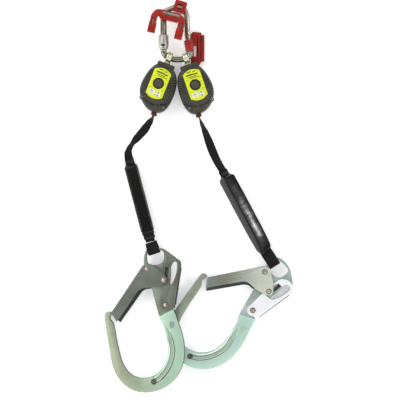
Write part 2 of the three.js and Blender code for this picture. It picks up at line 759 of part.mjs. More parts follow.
function neckShape() {
  const shape = new THREE.Shape();
  shape.moveTo(26, -100);
  shape.lineTo(52, -88);
  shape.lineTo(50, -62);
  shape.bezierCurveTo(41, -40, 47.5, -24, 47, -4);
  shape.bezierCurveTo(46, 8, 52, 15, 60, 17);
  shape.lineTo(57, 23);
  shape.lineTo(36, 38);
  shape.bezierCurveTo(26, 44, 8, 45, 0, 39.4);
  shape.bezierCurveTo(-6.6, 34, -8, 20, -6.8, 10);
  shape.bezierCurveTo(-6, 2, -2, -16, 9.6, -41);
  shape.lineTo(17, -70);
  shape.lineTo(22, -88);
  const eye = new THREE.Path();
  eye.moveTo(-1, 24);
  eye.bezierCurveTo(-1, 36.4, 1, 37.4, 16, 37.4);
  eye.bezierCurveTo(32, 37.4, 33.8, 36, 33.8, 24);
  eye.bezierCurveTo(33.4, 11, 22, 8, 15, 8);
  eye.bezierCurveTo(0, 8, -1, 10, -1, 24);
  shape.holes.push(eye);
  shape.holes.push(holeAt(0, 0, RIVET_R + 0.35));
  shape.holes.push(holeAt(...LEVER_AT, RIVET_R + 0.35));
  const reach = Math.hypot(...LATCH_AT);
  const start = Math.atan2(LATCH_AT[1], LATCH_AT[0]) - 0.1;
  const stop = start + THREE.MathUtils.degToRad(48);
  const slot = new THREE.Path();
  slot.absarc(0, 0, reach + 3.7, start, stop, false);
  slot.absarc(0, 0, reach - 3.7, stop, start, true);
  slot.closePath();
  shape.holes.push(slot);
  return shape;
}

// Forged limbs, thicker than the neck and eye they run into.
function hookBody() {
  const limb = prism(limbShape(), -LIMB_HALF, LIMB_HALF, 9);
  const neck = prism(neckShape(), -NECK_HALF, NECK_HALF, 5);
  return join(limb, neck);
}

function sidePlates(shape, inner, outer, segments) {
  return [prism(shape, inner, outer, segments), prism(shape, -outer, -inner, segments)];
}

// Pressed channel: two side plates, a back along the outer edge of the arm and a small end wall.
function hookGate() {
  const shape = new THREE.Shape();
  shape.moveTo(-72.4, -88.4);
  shape.lineTo(-10, 4.6);
  shape.quadraticCurveTo(-4, 12, 6, 8.4);
  shape.quadraticCurveTo(24, 2, 39, -15);
  shape.quadraticCurveTo(43.4, -21, 40.6, -26.6);
  shape.quadraticCurveTo(24, -37.6, -4, -38);
  shape.quadraticCurveTo(-12, -38.6, -18, -45);
  shape.lineTo(-61, -106);
  shape.lineTo(-68.6, -95.6);
  shape.holes.push(holeAt(0, 0, RIVET_R + 0.35));
  shape.holes.push(holeAt(...LATCH_AT, RIVET_R + 0.35));
  const back = outline([[-72.4, -88.4], [-14.8, -2.6], [-13.1, -3.8], [-70.7, -89.6]]);
  return join(...sidePlates(shape, GATE_INNER, GATE_OUTER, 5), prism(back, -GATE_OUTER, GATE_OUTER));
}

// Side plates over the neck with a crescent window, joined by a back strip behind the spine.
function lockLever() {
  const [px, py] = LEVER_AT;
  const shape = new THREE.Shape();
  shape.moveTo(px - 11, py);
  shape.absarc(px, py, 11.5, Math.PI, Math.PI * 1.75, false);
  shape.lineTo(54.6, -78);
  shape.lineTo(67.4, 6);
  shape.quadraticCurveTo(68, 17, 59, 20.4);
  shape.quadraticCurveTo(44, 24, 37, 16);
  shape.quadraticCurveTo(32, 12, 31, 6);
  shape.lineTo(29, -6);
  shape.lineTo(26.6, -44);
  const window = new THREE.Path();
  window.moveTo(36, 3.2);
  window.lineTo(46.8, 3.4);
  window.bezierCurveTo(45, 13, 57, 18, 60, 12);
  window.bezierCurveTo(62, -2, 56, -22, 49, -29.6);
  window.bezierCurveTo(42, -33, 30, -32, 29.6, -26);
  window.bezierCurveTo(29, -14, 30.6, -3, 36, 3.2);
  shape.holes.push(window);
  shape.holes.push(holeAt(px, py, RIVET_R + 0.35));
  const back = outline([[55.6, -71.4], [67.1, 4], [65.3, 4.3], [53.8, -71.1]]);
  return join(...sidePlates(shape, LEVER_INNER, LEVER_OUTER, 5), prism(back, -LEVER_OUTER, LEVER_OUTER));
}

// A domed rivet through the hook; the plates it holds reach from seat to seat.
function rivet(seat, [u, v]) {
  const base = seat + GAP;
  return turned([
    [0, -HEAD_TOP],
    [HEAD_R * 0.6, -HEAD_TOP],
    [HEAD_R, -base],
    [RIVET_R, -base],
    [RIVET_R, base],
    [HEAD_R, base],
    [HEAD_R * 0.6, HEAD_TOP],
    [0, HEAD_TOP],
  ], 10).translate(u, v, 0);
}

function scaffoldHook(side, group) {
  add(group, `${side.name}_hook_body`, hookBody(), ZINC);
  add(group, `${side.name}_hook_gate`, hookGate(), ZINC);
  add(group, `${side.name}_lock_lever`, lockLever(), ZINC);
  add(group, `${side.name}_gate_rivet`, rivet(GATE_OUTER, [0, 0]), RIVET_STEEL);
  add(group, `${side.name}_latch_rivet`, rivet(GATE_OUTER, LATCH_AT), RIVET_STEEL);
  add(group, `${side.name}_lever_rivet`, rivet(LEVER_OUTER, LEVER_AT), RIVET_STEEL);
  return group;
}

// ---------------------------------------------------------------- assembly

function build() {
  const assembly = new THREE.Group();
  assembly.add(connector());
  for (const side of SIDES) {
    assembly.add(retractingUnit(side));
    const hook = hookFrame(side);
    assembly.add(webbingLeg(side, hook));
    assembly.add(scaffoldHook(side, hook));
  }
  return assembly;
}

// The origin is moved to the middle of the lowest face of the assembly's box.
function standOnOrigin(assembly) {
  const box = new THREE.Box3().setFromObject(assembly, true);
  const middle = box.getCenter(new THREE.Vector3());
  assembly.position.set(-middle.x, -middle.y, -box.min.z);
  return assembly;
}

export default standOnOrigin(build());
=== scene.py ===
import math

import bmesh
import bpy
from mathutils import Matrix, Vector, geometry, noise


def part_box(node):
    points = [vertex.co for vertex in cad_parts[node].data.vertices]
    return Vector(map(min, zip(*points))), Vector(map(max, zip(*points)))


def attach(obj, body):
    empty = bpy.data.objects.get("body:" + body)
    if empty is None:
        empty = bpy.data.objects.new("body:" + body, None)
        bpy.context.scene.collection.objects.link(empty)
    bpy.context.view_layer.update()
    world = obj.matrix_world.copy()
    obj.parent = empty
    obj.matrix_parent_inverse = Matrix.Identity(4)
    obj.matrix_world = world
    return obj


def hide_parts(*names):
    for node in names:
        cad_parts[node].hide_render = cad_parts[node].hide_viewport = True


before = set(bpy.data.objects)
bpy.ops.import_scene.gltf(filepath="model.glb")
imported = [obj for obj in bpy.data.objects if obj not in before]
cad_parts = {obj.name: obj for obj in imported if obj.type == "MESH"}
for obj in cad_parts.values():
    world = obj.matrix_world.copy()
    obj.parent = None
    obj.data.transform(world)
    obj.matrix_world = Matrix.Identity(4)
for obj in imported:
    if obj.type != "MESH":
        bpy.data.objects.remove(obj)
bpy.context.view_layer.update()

# ---- shared measures, in millimetres

SIDES = {
    "left": {
        "hand": 1,
        "hub": (-34.4, -50.8),
        "tilt": -21.5,
        "route": [
            (-32.0, -79.9, 23, 0), (-42.1, -105.8, 23, 0), (-46.0, -115.6, 22.6, 8),
            (-53.4, -127, 20, 45), (-64, -142, 16, 78), (-77, -156.6, 13, 58),
            (-88.4, -170.4, 12, 28), (-94.2, -181, 12, 40), (-95.8, -189.6, 12.2, 66),
            (-95.1, -197.4, 12.4, 88),
        ],
        "pack_top": (-93.9, -201.9, 12.4),
        "pack_end": (-51.4, -363, 20.8),
        "pack_roll": 0,
        "hook_at": (-56.8, -419.4, 19.8),
        "hook_turn": 0,
        "hook_tilt": 7.6,
        "fold": (14.6, 29.2),
    },
    "right": {
        "hand": -1,
        "hub": (38.6, -53.4),
        "tilt": 19,
        "route": [
            (34.8, -82.2, 23, 0), (43.9, -108.7, 23, 0), (47, -118.4, 22.8, 4),
            (52.8, -133, 21, 26), (60, -150, 19, 50), (66.4, -167, 18, 74),
            (73.4, -185, 17.4, 96), (81.6, -203, 16.6, 113), (92.4, -221.4, 16.2, 122),
        ],
        "pack_top": (94.6, -225.6, 16.2),
        "pack_end": (179, -383.4, 15.7),
        "pack_roll": -32,
        "hook_at": (177.6, -425.8, 10.8),
        "hook_turn": -45,
        "hook_tilt": 0,
        "fold": (7.4, 23),
    },
}
MM = 0.001
GAP = 0.35
ROD_R = 5.9
CARABINER_Z = 23
GATE_X = -25
GATE_PIVOT_Y = 84
GATE_FOOT_Y = 19.5
GATE_R = 6.9
SLEEVE_R = 10.5
SLEEVE_BOTTOM_Y = 18
SLEEVE_TOP_Y = 48
CASE_DEPTH = 46
CASE_INNER_HALF = 36.1
CASE_OUTER_HALF = 32.5
CASE_BOTTOM = -55.5
CASE_TOP = 36
CASE_WALL = 2.8
HUB_CAP_TOP = 48.75
NECK_TOP = 44
NECK_HALF_WIDTH = 17.5
NECK_HALF_DEPTH = 12
NOZZLE_Q = 13
NOZZLE_P = -54
EYE_REACH = 57.5
BOSSES = [(25.5, -40.5), (-21.8, -36.5)]
WEB_WIDTH = 17
WEB_THICKNESS = 2
PACK_WIDTH = 27
PACK_THICKNESS = 24
LOOP_WIDTH = 24
LOOP_THICKNESS = 1.8
LOOP_INNER_HALF = 6
LIMB_HALF = 6.5
NECK_HALF = 4
LEVER_INNER = 4.5
LEVER_OUTER = 6.6
GATE_INNER = 7.2
GATE_OUTER = 9.2
RIVET_R = 3
HEAD_R = 5.6
HEAD_TOP = 10.5
LATCH_AT = (33.4, -21.8)
LEVER_AT = (37.5, -71.4)

# The row frame's origin, found from a piece whose place in the plan is known.
low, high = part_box("left_hub_cap")
SHIFT = Vector((
    (low[0] + high[0]) / 2 - SIDES["left"]["hub"][0] * MM,
    (low[1] + high[1]) / 2 - SIDES["left"]["hub"][1] * MM,
    high[2] - HUB_CAP_TOP * MM,
))
PLAN = Matrix.Translation(SHIFT) @ Matrix.Scale(MM, 4)
UP = Vector((0, 0, 1))
scene = bpy.context.scene


def at(x, y, z):
    return PLAN @ Vector((x, y, z))


# ---- camera

# The view is VIEW_WIDTH metres wide at MIDDLE_HEIGHT, half way up the thicker pieces.
VIEW_CENTRE = (48.0, -282.0)
VIEW_WIDTH = 0.8
CAMERA_HEIGHT = 3.2
MIDDLE_HEIGHT = 0.02

eye = bpy.data.cameras.new("view")
eye.sensor_width = 36
eye.lens = eye.sensor_width * (CAMERA_HEIGHT - MIDDLE_HEIGHT) / VIEW_WIDTH
eye.clip_end = 50
camera = bpy.data.objects.new("view", eye)
camera.location = at(*VIEW_CENTRE, 0) + Vector((0, 0, CAMERA_HEIGHT))
scene.collection.objects.link(camera)
scene.camera = camera


# ---- curves and outlines

SPLINE_DENSITY = 16
SAME_POINT = 0.02


def spline(points, steps):
    """A centripetal Catmull-Rom line through the points, evenly spaced along its length."""
    p = [Vector(q) for q in points]
    p = [p[0] * 2 - p[1]] + p + [p[-1] * 2 - p[-2]]
    dense = []
    for i in range(1, len(p) - 2):
        a, b, c, d = p[i - 1], p[i], p[i + 1], p[i + 2]
        t0 = 0.0
        t1 = t0 + math.sqrt((b - a).length)
        t2 = t1 + math.sqrt((c - b).length)
        t3 = t2 + math.sqrt((d - c).length)
        for k in range(SPLINE_DENSITY):
            t = t1 + (t2 - t1) * k / SPLINE_DENSITY
            e = a * ((t1 - t) / (t1 - t0)) + b * ((t - t0) / (t1 - t0))
            f = b * ((t2 - t) / (t2 - t1)) + c * ((t - t1) / (t2 - t1))
            g = c * ((t3 - t) / (t3 - t2)) + d * ((t - t2) / (t3 - t2))
            h = e * ((t2 - t) / (t2 - t0)) + f * ((t - t0) / (t2 - t0))
            j = f * ((t3 - t) / (t3 - t1)) + g * ((t - t1) / (t3 - t1))
            dense.append(h * ((t2 - t) / (t2 - t1)) + j * ((t - t1) / (t2 - t1)))
    dense.append(p[-2])
    reach = [0.0]
    for a, b in zip(dense, dense[1:]):
        reach.append(reach[-1] + (b - a).length)
    line = []
    k = 0
    for i in range(steps + 1):
        want = reach[-1] * i / steps
        while k < len(dense) - 2 and reach[k + 1] < want:
            k += 1
        share = (want - reach[k]) / max(reach[k + 1] - reach[k], 1e-9)
        line.append(dense[k].lerp(dense[k + 1], min(max(share, 0), 1)))
    return line


def length_of(line):
    return sum((b - a).length for a, b in zip(line, line[1:]))


class Pen:
    """Draws a flat outline from lines, arcs and Bezier curves.

    A step of path is the end of a line, or the control points of a curve and then its end.
    """

    def __init__(self, x, y, segments=14):
        self.points = [Vector((x, y))]
        self.segments = segments

    def path(self, *steps):
        for step in steps:
            {2: self.line, 4: self.quad, 6: self.cubic}[len(step)](*step)
        return self

    def line(self, x, y):
        self.points.append(Vector((x, y)))

    def cubic(self, ax, ay, bx, by, x, y):
        start, a, b, end = self.points[-1], Vector((ax, ay)), Vector((bx, by)), Vector((x, y))
        for i in range(1, self.segments + 1):
            t = i / self.segments
            s = 1 - t
            self.points.append(start * s**3 + a * (3 * s * s * t) + b * (3 * s * t * t) + end * t**3)

    def quad(self, ax, ay, x, y):
        start, a, end = self.points[-1], Vector((ax, ay)), Vector((x, y))
        for i in range(1, self.segments + 1):
            t = i / self.segments
            s = 1 - t
            self.points.append(start * s * s + a * (2 * s * t) + end * t * t)

    def arc(self, x, y, r, start, stop, segments=None):
        count = segments or self.segments
        for i in range(count + 1):
            t = start + (stop - start) * i / count
            self.points.append(Vector((x + r * math.cos(t), y + r * math.sin(t))))
        return self

    def done(self):
        kept = []
        for p in self.points:
            if not kept or (p - kept[-1]).length > SAME_POINT:
                kept.append(p)
        if (kept[0] - kept[-1]).length < SAME_POINT:
            kept.pop()
        return kept


def polygon(*points):
    return [Vector(p) for p in points]


def circle(x, y, r, segments=36):
    turn = math.tau / segments
    return [Vector((x + r * math.cos(i * turn), y + r * math.sin(i * turn))) for i in range(segments)]


def rounded_box(half_x, half_y, r, segments=5):
    pen = Pen(half_x, r - half_y, segments)
    pen.arc(half_x - r, half_y - r, r, 0, math.pi / 2)
    pen.arc(r - half_x, half_y - r, r, math.pi / 2, math.pi)
    pen.arc(r - half_x, r - half_y, r, math.pi, math.pi * 1.5)
    pen.arc(half_x - r, r - half_y, r, math.pi * 1.5, math.tau)
    return pen.done()


def moved(outline, x, y, turn=0.0):
    c, s = math.cos(math.radians(turn)), math.sin(math.radians(turn))
    return [Vector((p.x * c - p.y * s + x, p.x * s + p.y * c + y)) for p in outline]


# ---- solids

def skin(rows, n):
    """The faces between rows of n vertices each, and the faces that close the two ends."""
    sides = []
    for k in range(rows - 1):
        for i in range(n):
            j = (i + 1) % n
            sides.append((k * n + i, k * n + j, (k + 1) * n + j, (k + 1) * n + i))
    return sides, [tuple(range(n))[::-1], tuple(range((rows - 1) * n, rows * n))]


def solid(verts, faces):
    """A closed mesh object in millimetres, with its faces turned outwards."""
    mesh = bpy.data.meshes.new("work")
    mesh.from_pydata([tuple(v) for v in verts], [], faces)
    work = bmesh.new()
    work.from_mesh(mesh)
    bmesh.ops.remove_doubles(work, verts=work.verts, dist=1e-4)
    bmesh.ops.recalc_face_normals(work, faces=work.faces)
    work.to_mesh(mesh)
    work.free()
    ob = bpy.data.objects.new("work", mesh)
    scene.collection.objects.link(ob)
    return ob


def prism(outline, low, high, holes=()):
    loops = [list(outline)] + [list(h) for h in holes]
    flat = [p for loop in loops for p in loop]
    count = len(flat)
    triangles = geometry.tessellate_polygon([[Vector((p.x, p.y, 0)) for p in loop] for loop in loops])
    verts = [(p.x, p.y, low) for p in flat] + [(p.x, p.y, high) for p in flat]
    faces = [(a, b, c) for a, b, c in triangles]
    faces += [(c + count, b + count, a + count) for a, b, c in triangles]
    first = 0
    for loop in loops:
        n = len(loop)
        for i in range(n):
            j = (i + 1) % n
            faces.append((first + i, first + j, first + j + count, first + i + count))
        first += n
    return solid(verts, faces)


def block(x0, x1, y0, y1, z0, z1):
    return prism(polygon((x0, y0), (x1, y0), (x1, y1), (x0, y1)), z0, z1)


def loft(rings):
    """Joins rings of equally many points; both ends are closed."""
    sides, ends = skin(len(rings), len(rings[0]))
    return solid([v for ring in rings for v in ring], sides + ends)


def lathe(profile, segments=48):
    """(radius, height) pairs turned about Z; they start and end on the axis or close on themselves."""
    verts, faces, rows = [], [], []
    for r, h in profile:
        if r < 1e-6:
            rows.append([len(verts)] * segments)
            verts.append((0, 0, h))
            continue
        rows.append([len(verts) + i for i in range(segments)])
        for i in range(segments):
            turn = math.tau * i / segments
            verts.append((r * math.cos(turn), r * math.sin(turn), h))
    for a, b in zip(rows, rows[1:]):
        for i in range(segments):
            j = (i + 1) % segments
            face = []
            for v in (a[i], a[j], b[j], b[i]):
                if v not in face:
                    face.append(v)
            if len(face) > 2:
                faces.append(tuple(face))
    return solid(verts, faces)


def disc(r, low, high, segments=32):
    return lathe([(0, low), (r, low), (r, high), (0, high)], segments)


def sweep(line, section):
    """A closed section (side, up) carried along a line that stays level."""
    rings = []
    for i, p in enumerate(line):
        a = line[max(i - 1, 0)]
        b = line[min(i + 1, len(line) - 1)]
        along = (b - a).normalized()
        side = along.cross(UP).normalized()
        rise = side.cross(along)
        rings.append([p + side * s.x + rise * s.y for s in section])
    return loft(rings)


def tube(points, r, steps=90, sides=28):
    return sweep(spline(points, steps), circle(0, 0, r, sides))


def place(ob, matrix):
    ob.data.transform(matrix)
    ob.data.update()
    return ob


def turned(x=0.0, y=0.0, z=0.0):
    turn = Matrix.Rotation(math.radians(z), 4, "Z") @ Matrix.Rotation(math.radians(y), 4, "Y")
    return turn @ Matrix.Rotation(math.radians(x), 4, "X")


def shifted(x, y, z=0.0):
    return Matrix.Translation((x, y, z))


ALONG_Y = turned(x=-90)


def applied(ob):
    """Replaces an object's mesh by what its modifiers make of it."""
    bpy.context.view_layer.update()
    graph = bpy.context.evaluated_depsgraph_get()
    mesh = bpy.data.meshes.new_from_object(ob.evaluated_get(graph))
    ob.modifiers.clear()
    ob.data = mesh
    return ob


def combine(base, tools, operation):
    for tool in tools:
        step = base.modifiers.new("combine", "BOOLEAN")
        step.operation = operation
        step.solver = "MANIFOLD"
        step.object = tool
    applied(base)
    for tool in tools:
        bpy.data.objects.remove(tool)
    return base


def join(base, *tools):
    return combine(base, tools, "UNION")


def cut(base, *tools):
    return combine(base, tools, "DIFFERENCE")


def merge(*parts):
    """Puts separate closed shells into one object."""
    work = bmesh.new()
    for part in parts:
        work.from_mesh(part.data)
        bpy.data.objects.remove(part)
    mesh = bpy.data.meshes.new("work")
    work.to_mesh(mesh)
    work.free()
    ob = bpy.data.objects.new("work", mesh)
    scene.collection.objects.link(ob)
    return ob


BEVEL_ANGLE = 32


def soften(ob, width, segments=2):
    """Clears away the slivers that booleans leave, then rounds the sharp edges."""
    work = bmesh.new()
    work.from_mesh(ob.data)
    bmesh.ops.remove_doubles(work, verts=work.verts, dist=0.01)
    bmesh.ops.dissolve_limit(
        work, angle_limit=math.radians(0.4), verts=work.verts, edges=work.edges, delimit=set()
    )
    work.to_mesh(ob.data)
    work.free()
    step = ob.modifiers.new("soften", "BEVEL")
    step.width = width
    step.segments = segments
    step.limit_method = "ANGLE"
    step.angle_limit = math.radians(BEVEL_ANGLE)
    step.use_clamp_overlap = True
    return applied(ob)


def piece(name, ob, where, paint, body, nodes, smooth=34):
    """Names a finished solid, sets it in the row frame and ties it to its body."""
    place(ob, PLAN @ where)
    ob.name = name
    ob.data.name = name
    mesh = ob.data
    mesh.shade_smooth()
    mesh.set_sharp_from_angle(angle=math.radians(smooth))
    mesh.materials.clear()
    mesh.materials.append(paint)
    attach(ob, body)
    if nodes:
        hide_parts(*nodes)
    return ob


def tint(ob, where, paint, test):
    """Gives the faces whose middle passes the test another material."""
    back = (PLAN @ where).inverted()
    ob.data.materials.append(paint)
    index = len(ob.data.materials) - 1
    for face in ob.data.polygons:
        if test(back @ face.center):
            face.material_index = index


STEEP = 0.8


def edge(ob):
    """Paints the steep rim faces of a cut plate near black: painted shade on the rims."""
    ob.data.materials.append(ZINC_RIM_SHADE)
    index = len(ob.data.materials) - 1
    for face in ob.data.polygons:
        if abs(face.normal.z) < STEEP:
            face.material_index = index


# ---- materials

NOISE_LOW, NOISE_HIGH = 0.3, 0.7
BUMP_DISTANCE = 0.0004
GRAIN_IN_WEAVE = 0.35


def surface(
    name, colours, metallic=0.0, rough=(0.4, 0.55), mottle=30.0, grain=900.0,
    bump=0.1, weave=None, painted_light_fade=None, **sockets
):
    """Mottled colour, uneven roughness and a fine bump.

    weave is (scale across, scale along, depth) and adds crossed bands along the UV directions.
    fade is (tint, direction, from, to) and blends the colours into tint along a direction of the
    row frame, in metres, as painted light. sockets sets the shader's other inputs, with _ for each space.
    """
    paint = bpy.data.materials.new(name)
    paint.use_nodes = True
    tree = paint.node_tree
    shader = tree.nodes["Principled BSDF"]
    shader.inputs["Metallic"].default_value = metallic
    for key, value in sockets.items():
        shader.inputs[key.replace("_", " ")].default_value = value

    def node(kind, **values):
        made = tree.nodes.new("ShaderNode" + kind)
        for key, value in values.items():
            socket = key.replace("_", " ")
            if socket in made.inputs:
                made.inputs[socket].default_value = value
            else:
                setattr(made, key, value)
        return made

    def wire(a, out, b, to):
        tree.links.new(a.outputs[out], b.inputs[to])

    def arithmetic(operation, a, out_a, b, out_b="Fac"):
        made = node("Math", operation=operation)
        wire(a, out_a, made, 0)
        if isinstance(b, float):
            made.inputs[1].default_value = b
        else:
            wire(b, out_b, made, 1)
        return made

    coords = node("TexCoord")
    blotch = node("TexNoise", Scale=mottle, Detail=4.0, Roughness=0.6)
    wire(coords, "Object", blotch, "Vector")
    ramp = node("ValToRGB")
    stops = ramp.color_ramp.elements
    for i, colour in enumerate(colours):
        where = NOISE_LOW + (NOISE_HIGH - NOISE_LOW) * i / max(len(colours) - 1, 1)
        stop = stops[i] if i < 2 else stops.new(where)
        stop.position = where
        stop.color = (*colour, 1)
    wire(blotch, "Fac", ramp, "Fac")
    fine = node("TexNoise", Scale=grain, Detail=3.0, Roughness=0.7)
    wire(coords, "Object", fine, "Vector")
    both = arithmetic("ADD", blotch, "Fac", fine)
    half = arithmetic("MULTIPLY", both, "Value", 0.5)
    gloss = node("MapRange", From_Min=NOISE_LOW, From_Max=NOISE_HIGH, To_Min=rough[0], To_Max=rough[1])
    wire(half, "Value", gloss, "Value")
    wire(gloss, "Result", shader, "Roughness")
    relief = node("Bump", Strength=bump, Distance=BUMP_DISTANCE)
    height, height_out = fine, "Fac"
    colour_from = ramp
    if painted_light_fade:
        shade_to, direction, start, stop = painted_light_fade
        along = node("VectorMath", operation="DOT_PRODUCT")
        along.inputs[1].default_value = direction
        wire(coords, "Object", along, 0)
        share = node("MapRange", From_Min=start, From_Max=stop)
        wire(along, "Value", share, "Value")
        colour_from = node("MixRGB", Color2=(*shade_to, 1))
        wire(share, "Result", colour_from, "Fac")
        wire(ramp, "Color", colour_from, "Color1")
    if weave:
        across, along, depth = weave
        one = node("TexWave", wave_type="BANDS", bands_direction="X", Scale=across)
        two = node("TexWave", wave_type="BANDS", bands_direction="Y", Scale=along)
        wire(coords, "UV", one, "Vector")
        wire(coords, "UV", two, "Vector")
        crossed = arithmetic("MULTIPLY", one, "Fac", two)
        faint = arithmetic("MULTIPLY", fine, "Fac", GRAIN_IN_WEAVE)
        height, height_out = arithmetic("ADD", crossed, "Value", faint, "Value"), "Value"
        colour_from = node("MixRGB", blend_type="MULTIPLY", Fac=depth)
        wire(ramp, "Color", colour_from, "Color1")
        wire(crossed, "Value", colour_from, "Color2")
    wire(height, height_out, relief, "Height")
    wire(relief, "Normal", shader, "Normal")
    wire(colour_from, "Color", shader, "Base Color")
    return paint


FORGED = {"metallic": 0.85, "rough": (0.38, 0.52), "mottle": 26, "grain": 1400, "bump": 0.25}
PRESSED = {"metallic": 0.8, "rough": (0.3, 0.44), "mottle": 22, "grain": 900, "bump": 0.12}
INK = {"rough": (0.4, 0.5), "mottle": 300, "bump": 0.03}

POLISHED = surface(
    "polished_steel", [(0.22, 0.20, 0.14), (0.31, 0.29, 0.22), (0.42, 0.41, 0.34)],
    metallic=1.0, rough=(0.22, 0.32), mottle=18, grain=300, bump=0.01,
)
BRASSY = surface(
    "forged_eye_steel", [(0.52, 0.50, 0.33), (0.66, 0.65, 0.48), (0.78, 0.78, 0.66)],
    metallic=1.0, rough=(0.3, 0.42), mottle=40, grain=300, bump=0.02,
)
BARREL = surface(
    "bead_blasted_steel", [(0.46, 0.46, 0.41), (0.58, 0.58, 0.52)],
    metallic=1.0, rough=(0.34, 0.46), mottle=120, grain=2200, bump=0.12,
)
# The two hooks' forgings in two copies of one plating, each toned for the light on its hook and brightening
# along a direction: painted light and shade.
ZINC_LEFT = surface(
    "zinc_plate_left", [(0.33, 0.39, 0.27), (0.41, 0.47, 0.32), (0.38, 0.45, 0.34)],
    **FORGED, painted_light_fade=((0.50, 0.71, 0.56), (1, 0.25, 0), -0.235, -0.125),
)
# The right forging's copy, darker overall, brightening towards the lower right: painted light and shade.
ZINC_RIGHT = surface(
    "zinc_plate_right", [(0.28, 0.31, 0.21), (0.33, 0.37, 0.27), (0.30, 0.37, 0.30)],
    **FORGED, painted_light_fade=((0.56, 0.78, 0.66), (0.6, -0.8, 0), 0.15, 0.23),
)
# Darker zinc for the band along the groove beside the inner edge: painted shade.
ZINC_GROOVE_SHADE = surface(
    "zinc_plate_painted_groove_shade", [(0.31, 0.39, 0.30), (0.39, 0.48, 0.38), (0.37, 0.47, 0.39)],
    metallic=0.8, rough=(0.4, 0.55), mottle=40, grain=1400, bump=0.2,
)
# Near black zinc for the steep rims of the hook plates: painted shade.
ZINC_RIM_SHADE = surface(
    "zinc_plate_painted_rim_shade", [(0.05, 0.06, 0.05), (0.09, 0.10, 0.08)],
    metallic=0.8, rough=(0.35, 0.5), mottle=60, grain=1400, bump=0.1,
)
# A brighter, cooler copy of the plating for the right hook's neck: painted light.
ZINC_COOL_LIT = surface(
    "zinc_plate_cool_painted_light", [(0.36, 0.46, 0.40), (0.48, 0.60, 0.54), (0.66, 0.76, 0.72)],
    **FORGED | {"rough": (0.3, 0.44), "mottle": 24, "bump": 0.2},
)
# The right hook's gate in a lighter copy of the plating that brightens further along X: painted light.
ZINC_WARM_LIT = surface(
    "zinc_plate_warm_painted_light", [(0.25, 0.25, 0.17), (0.31, 0.33, 0.26), (0.27, 0.33, 0.29)],
    **PRESSED | {"grain": 1400, "bump": 0.2}, painted_light_fade=((0.72, 0.78, 0.66), (1, 0, 0), 0.055, 0.12),
)
# The left hook's gate and lever in a darker copy of the plating: painted shade.
ZINC_DARK_SHADED = surface(
    "zinc_plate_painted_shade_dark", [(0.15, 0.17, 0.13), (0.20, 0.22, 0.18), (0.21, 0.26, 0.23)], **PRESSED
)
# A darker zinc used as painted shade: the left hook's neck under its gate and lever, the pocket's rim, the
# left stamp's floors and the slot cover.
ZINC_HALF_SHADE = surface(
    "zinc_plate_painted_half_shade", [(0.22, 0.24, 0.18), (0.27, 0.31, 0.25), (0.25, 0.31, 0.28)],
    **PRESSED | {"bump": 0.1},
)
# Near white zinc for the right hook's lever, the same plating painted as a bright reflection: painted
# highlight.
ZINC_REFLECTION_WHITE = surface(
    "zinc_plate_painted_reflection", [(0.84, 0.86, 0.85), (0.93, 0.94, 0.96), (0.88, 0.91, 0.95)],
    metallic=0.35, rough=(0.3, 0.4), mottle=16, grain=900, bump=0.05,
)
ZINC_SHADE = surface(
    "zinc_plate_shaded", [(0.035, 0.05, 0.045), (0.07, 0.085, 0.08)],
    metallic=0.5, rough=(0.4, 0.55), mottle=50, grain=900, bump=0.1,
)
RIVET = surface(
    "rivet_steel", [(0.55, 0.51, 0.42), (0.74, 0.71, 0.62), (0.84, 0.82, 0.76)],
    metallic=1.0, rough=(0.18, 0.32), mottle=160, grain=900, bump=0.08,
)
RIVET_RING = surface(
    "rivet_collar", [(0.17, 0.13, 0.09), (0.30, 0.26, 0.20)],
    metallic=0.9, rough=(0.3, 0.45), mottle=200, grain=900, bump=0.1,
)
SHELL = surface(
    "ribbed_nylon", [(0.038, 0.039, 0.028), (0.052, 0.053, 0.039)],
    rough=(0.42, 0.58), mottle=60, grain=2600, bump=0.22, Specular_IOR_Level=0.35,
)
# Darker nylon for the hollows between the ribs and the step below the lip: painted shade.
SHELL_HOLLOW_SHADE = surface(
    "ribbed_nylon_painted_hollow_shade", [(0.018, 0.018, 0.014), (0.027, 0.027, 0.021)],
    rough=(0.5, 0.62), mottle=60, grain=2600, bump=0.2, Specular_IOR_Level=0.25,
)
NYLON = surface(
    "dark_nylon", [(0.018, 0.018, 0.016), (0.03, 0.03, 0.026)],
    rough=(0.4, 0.55), mottle=70, grain=2400, bump=0.15, Specular_IOR_Level=0.3,
)
CAP = surface(
    "hub_nylon", [(0.048, 0.052, 0.034), (0.064, 0.068, 0.046)],
    rough=(0.42, 0.56), mottle=70, grain=2400, bump=0.15, Specular_IOR_Level=0.35,
)
LABEL = surface(
    "label_print", [(0.60, 0.68, 0.010), (0.68, 0.75, 0.016)],
    rough=(0.32, 0.46), mottle=40, grain=1500, bump=0.04, Specular_IOR_Level=0.3,
)
LABEL_INK = surface("label_ink", [(0.05, 0.07, 0.02), (0.09, 0.11, 0.03)], **INK)
LABEL_PALE = surface("label_pale", [(0.70, 0.73, 0.62), (0.80, 0.82, 0.74)], **INK)
LABEL_GREY = surface("label_grey", [(0.20, 0.21, 0.18), (0.30, 0.31, 0.27)], **INK)
RED = surface(
    "red_nylon", [(0.24, 0.010, 0.006), (0.36, 0.019, 0.009)],
    rough=(0.26, 0.4), mottle=60, grain=1800, bump=0.1, Specular_IOR_Level=0.32,
)
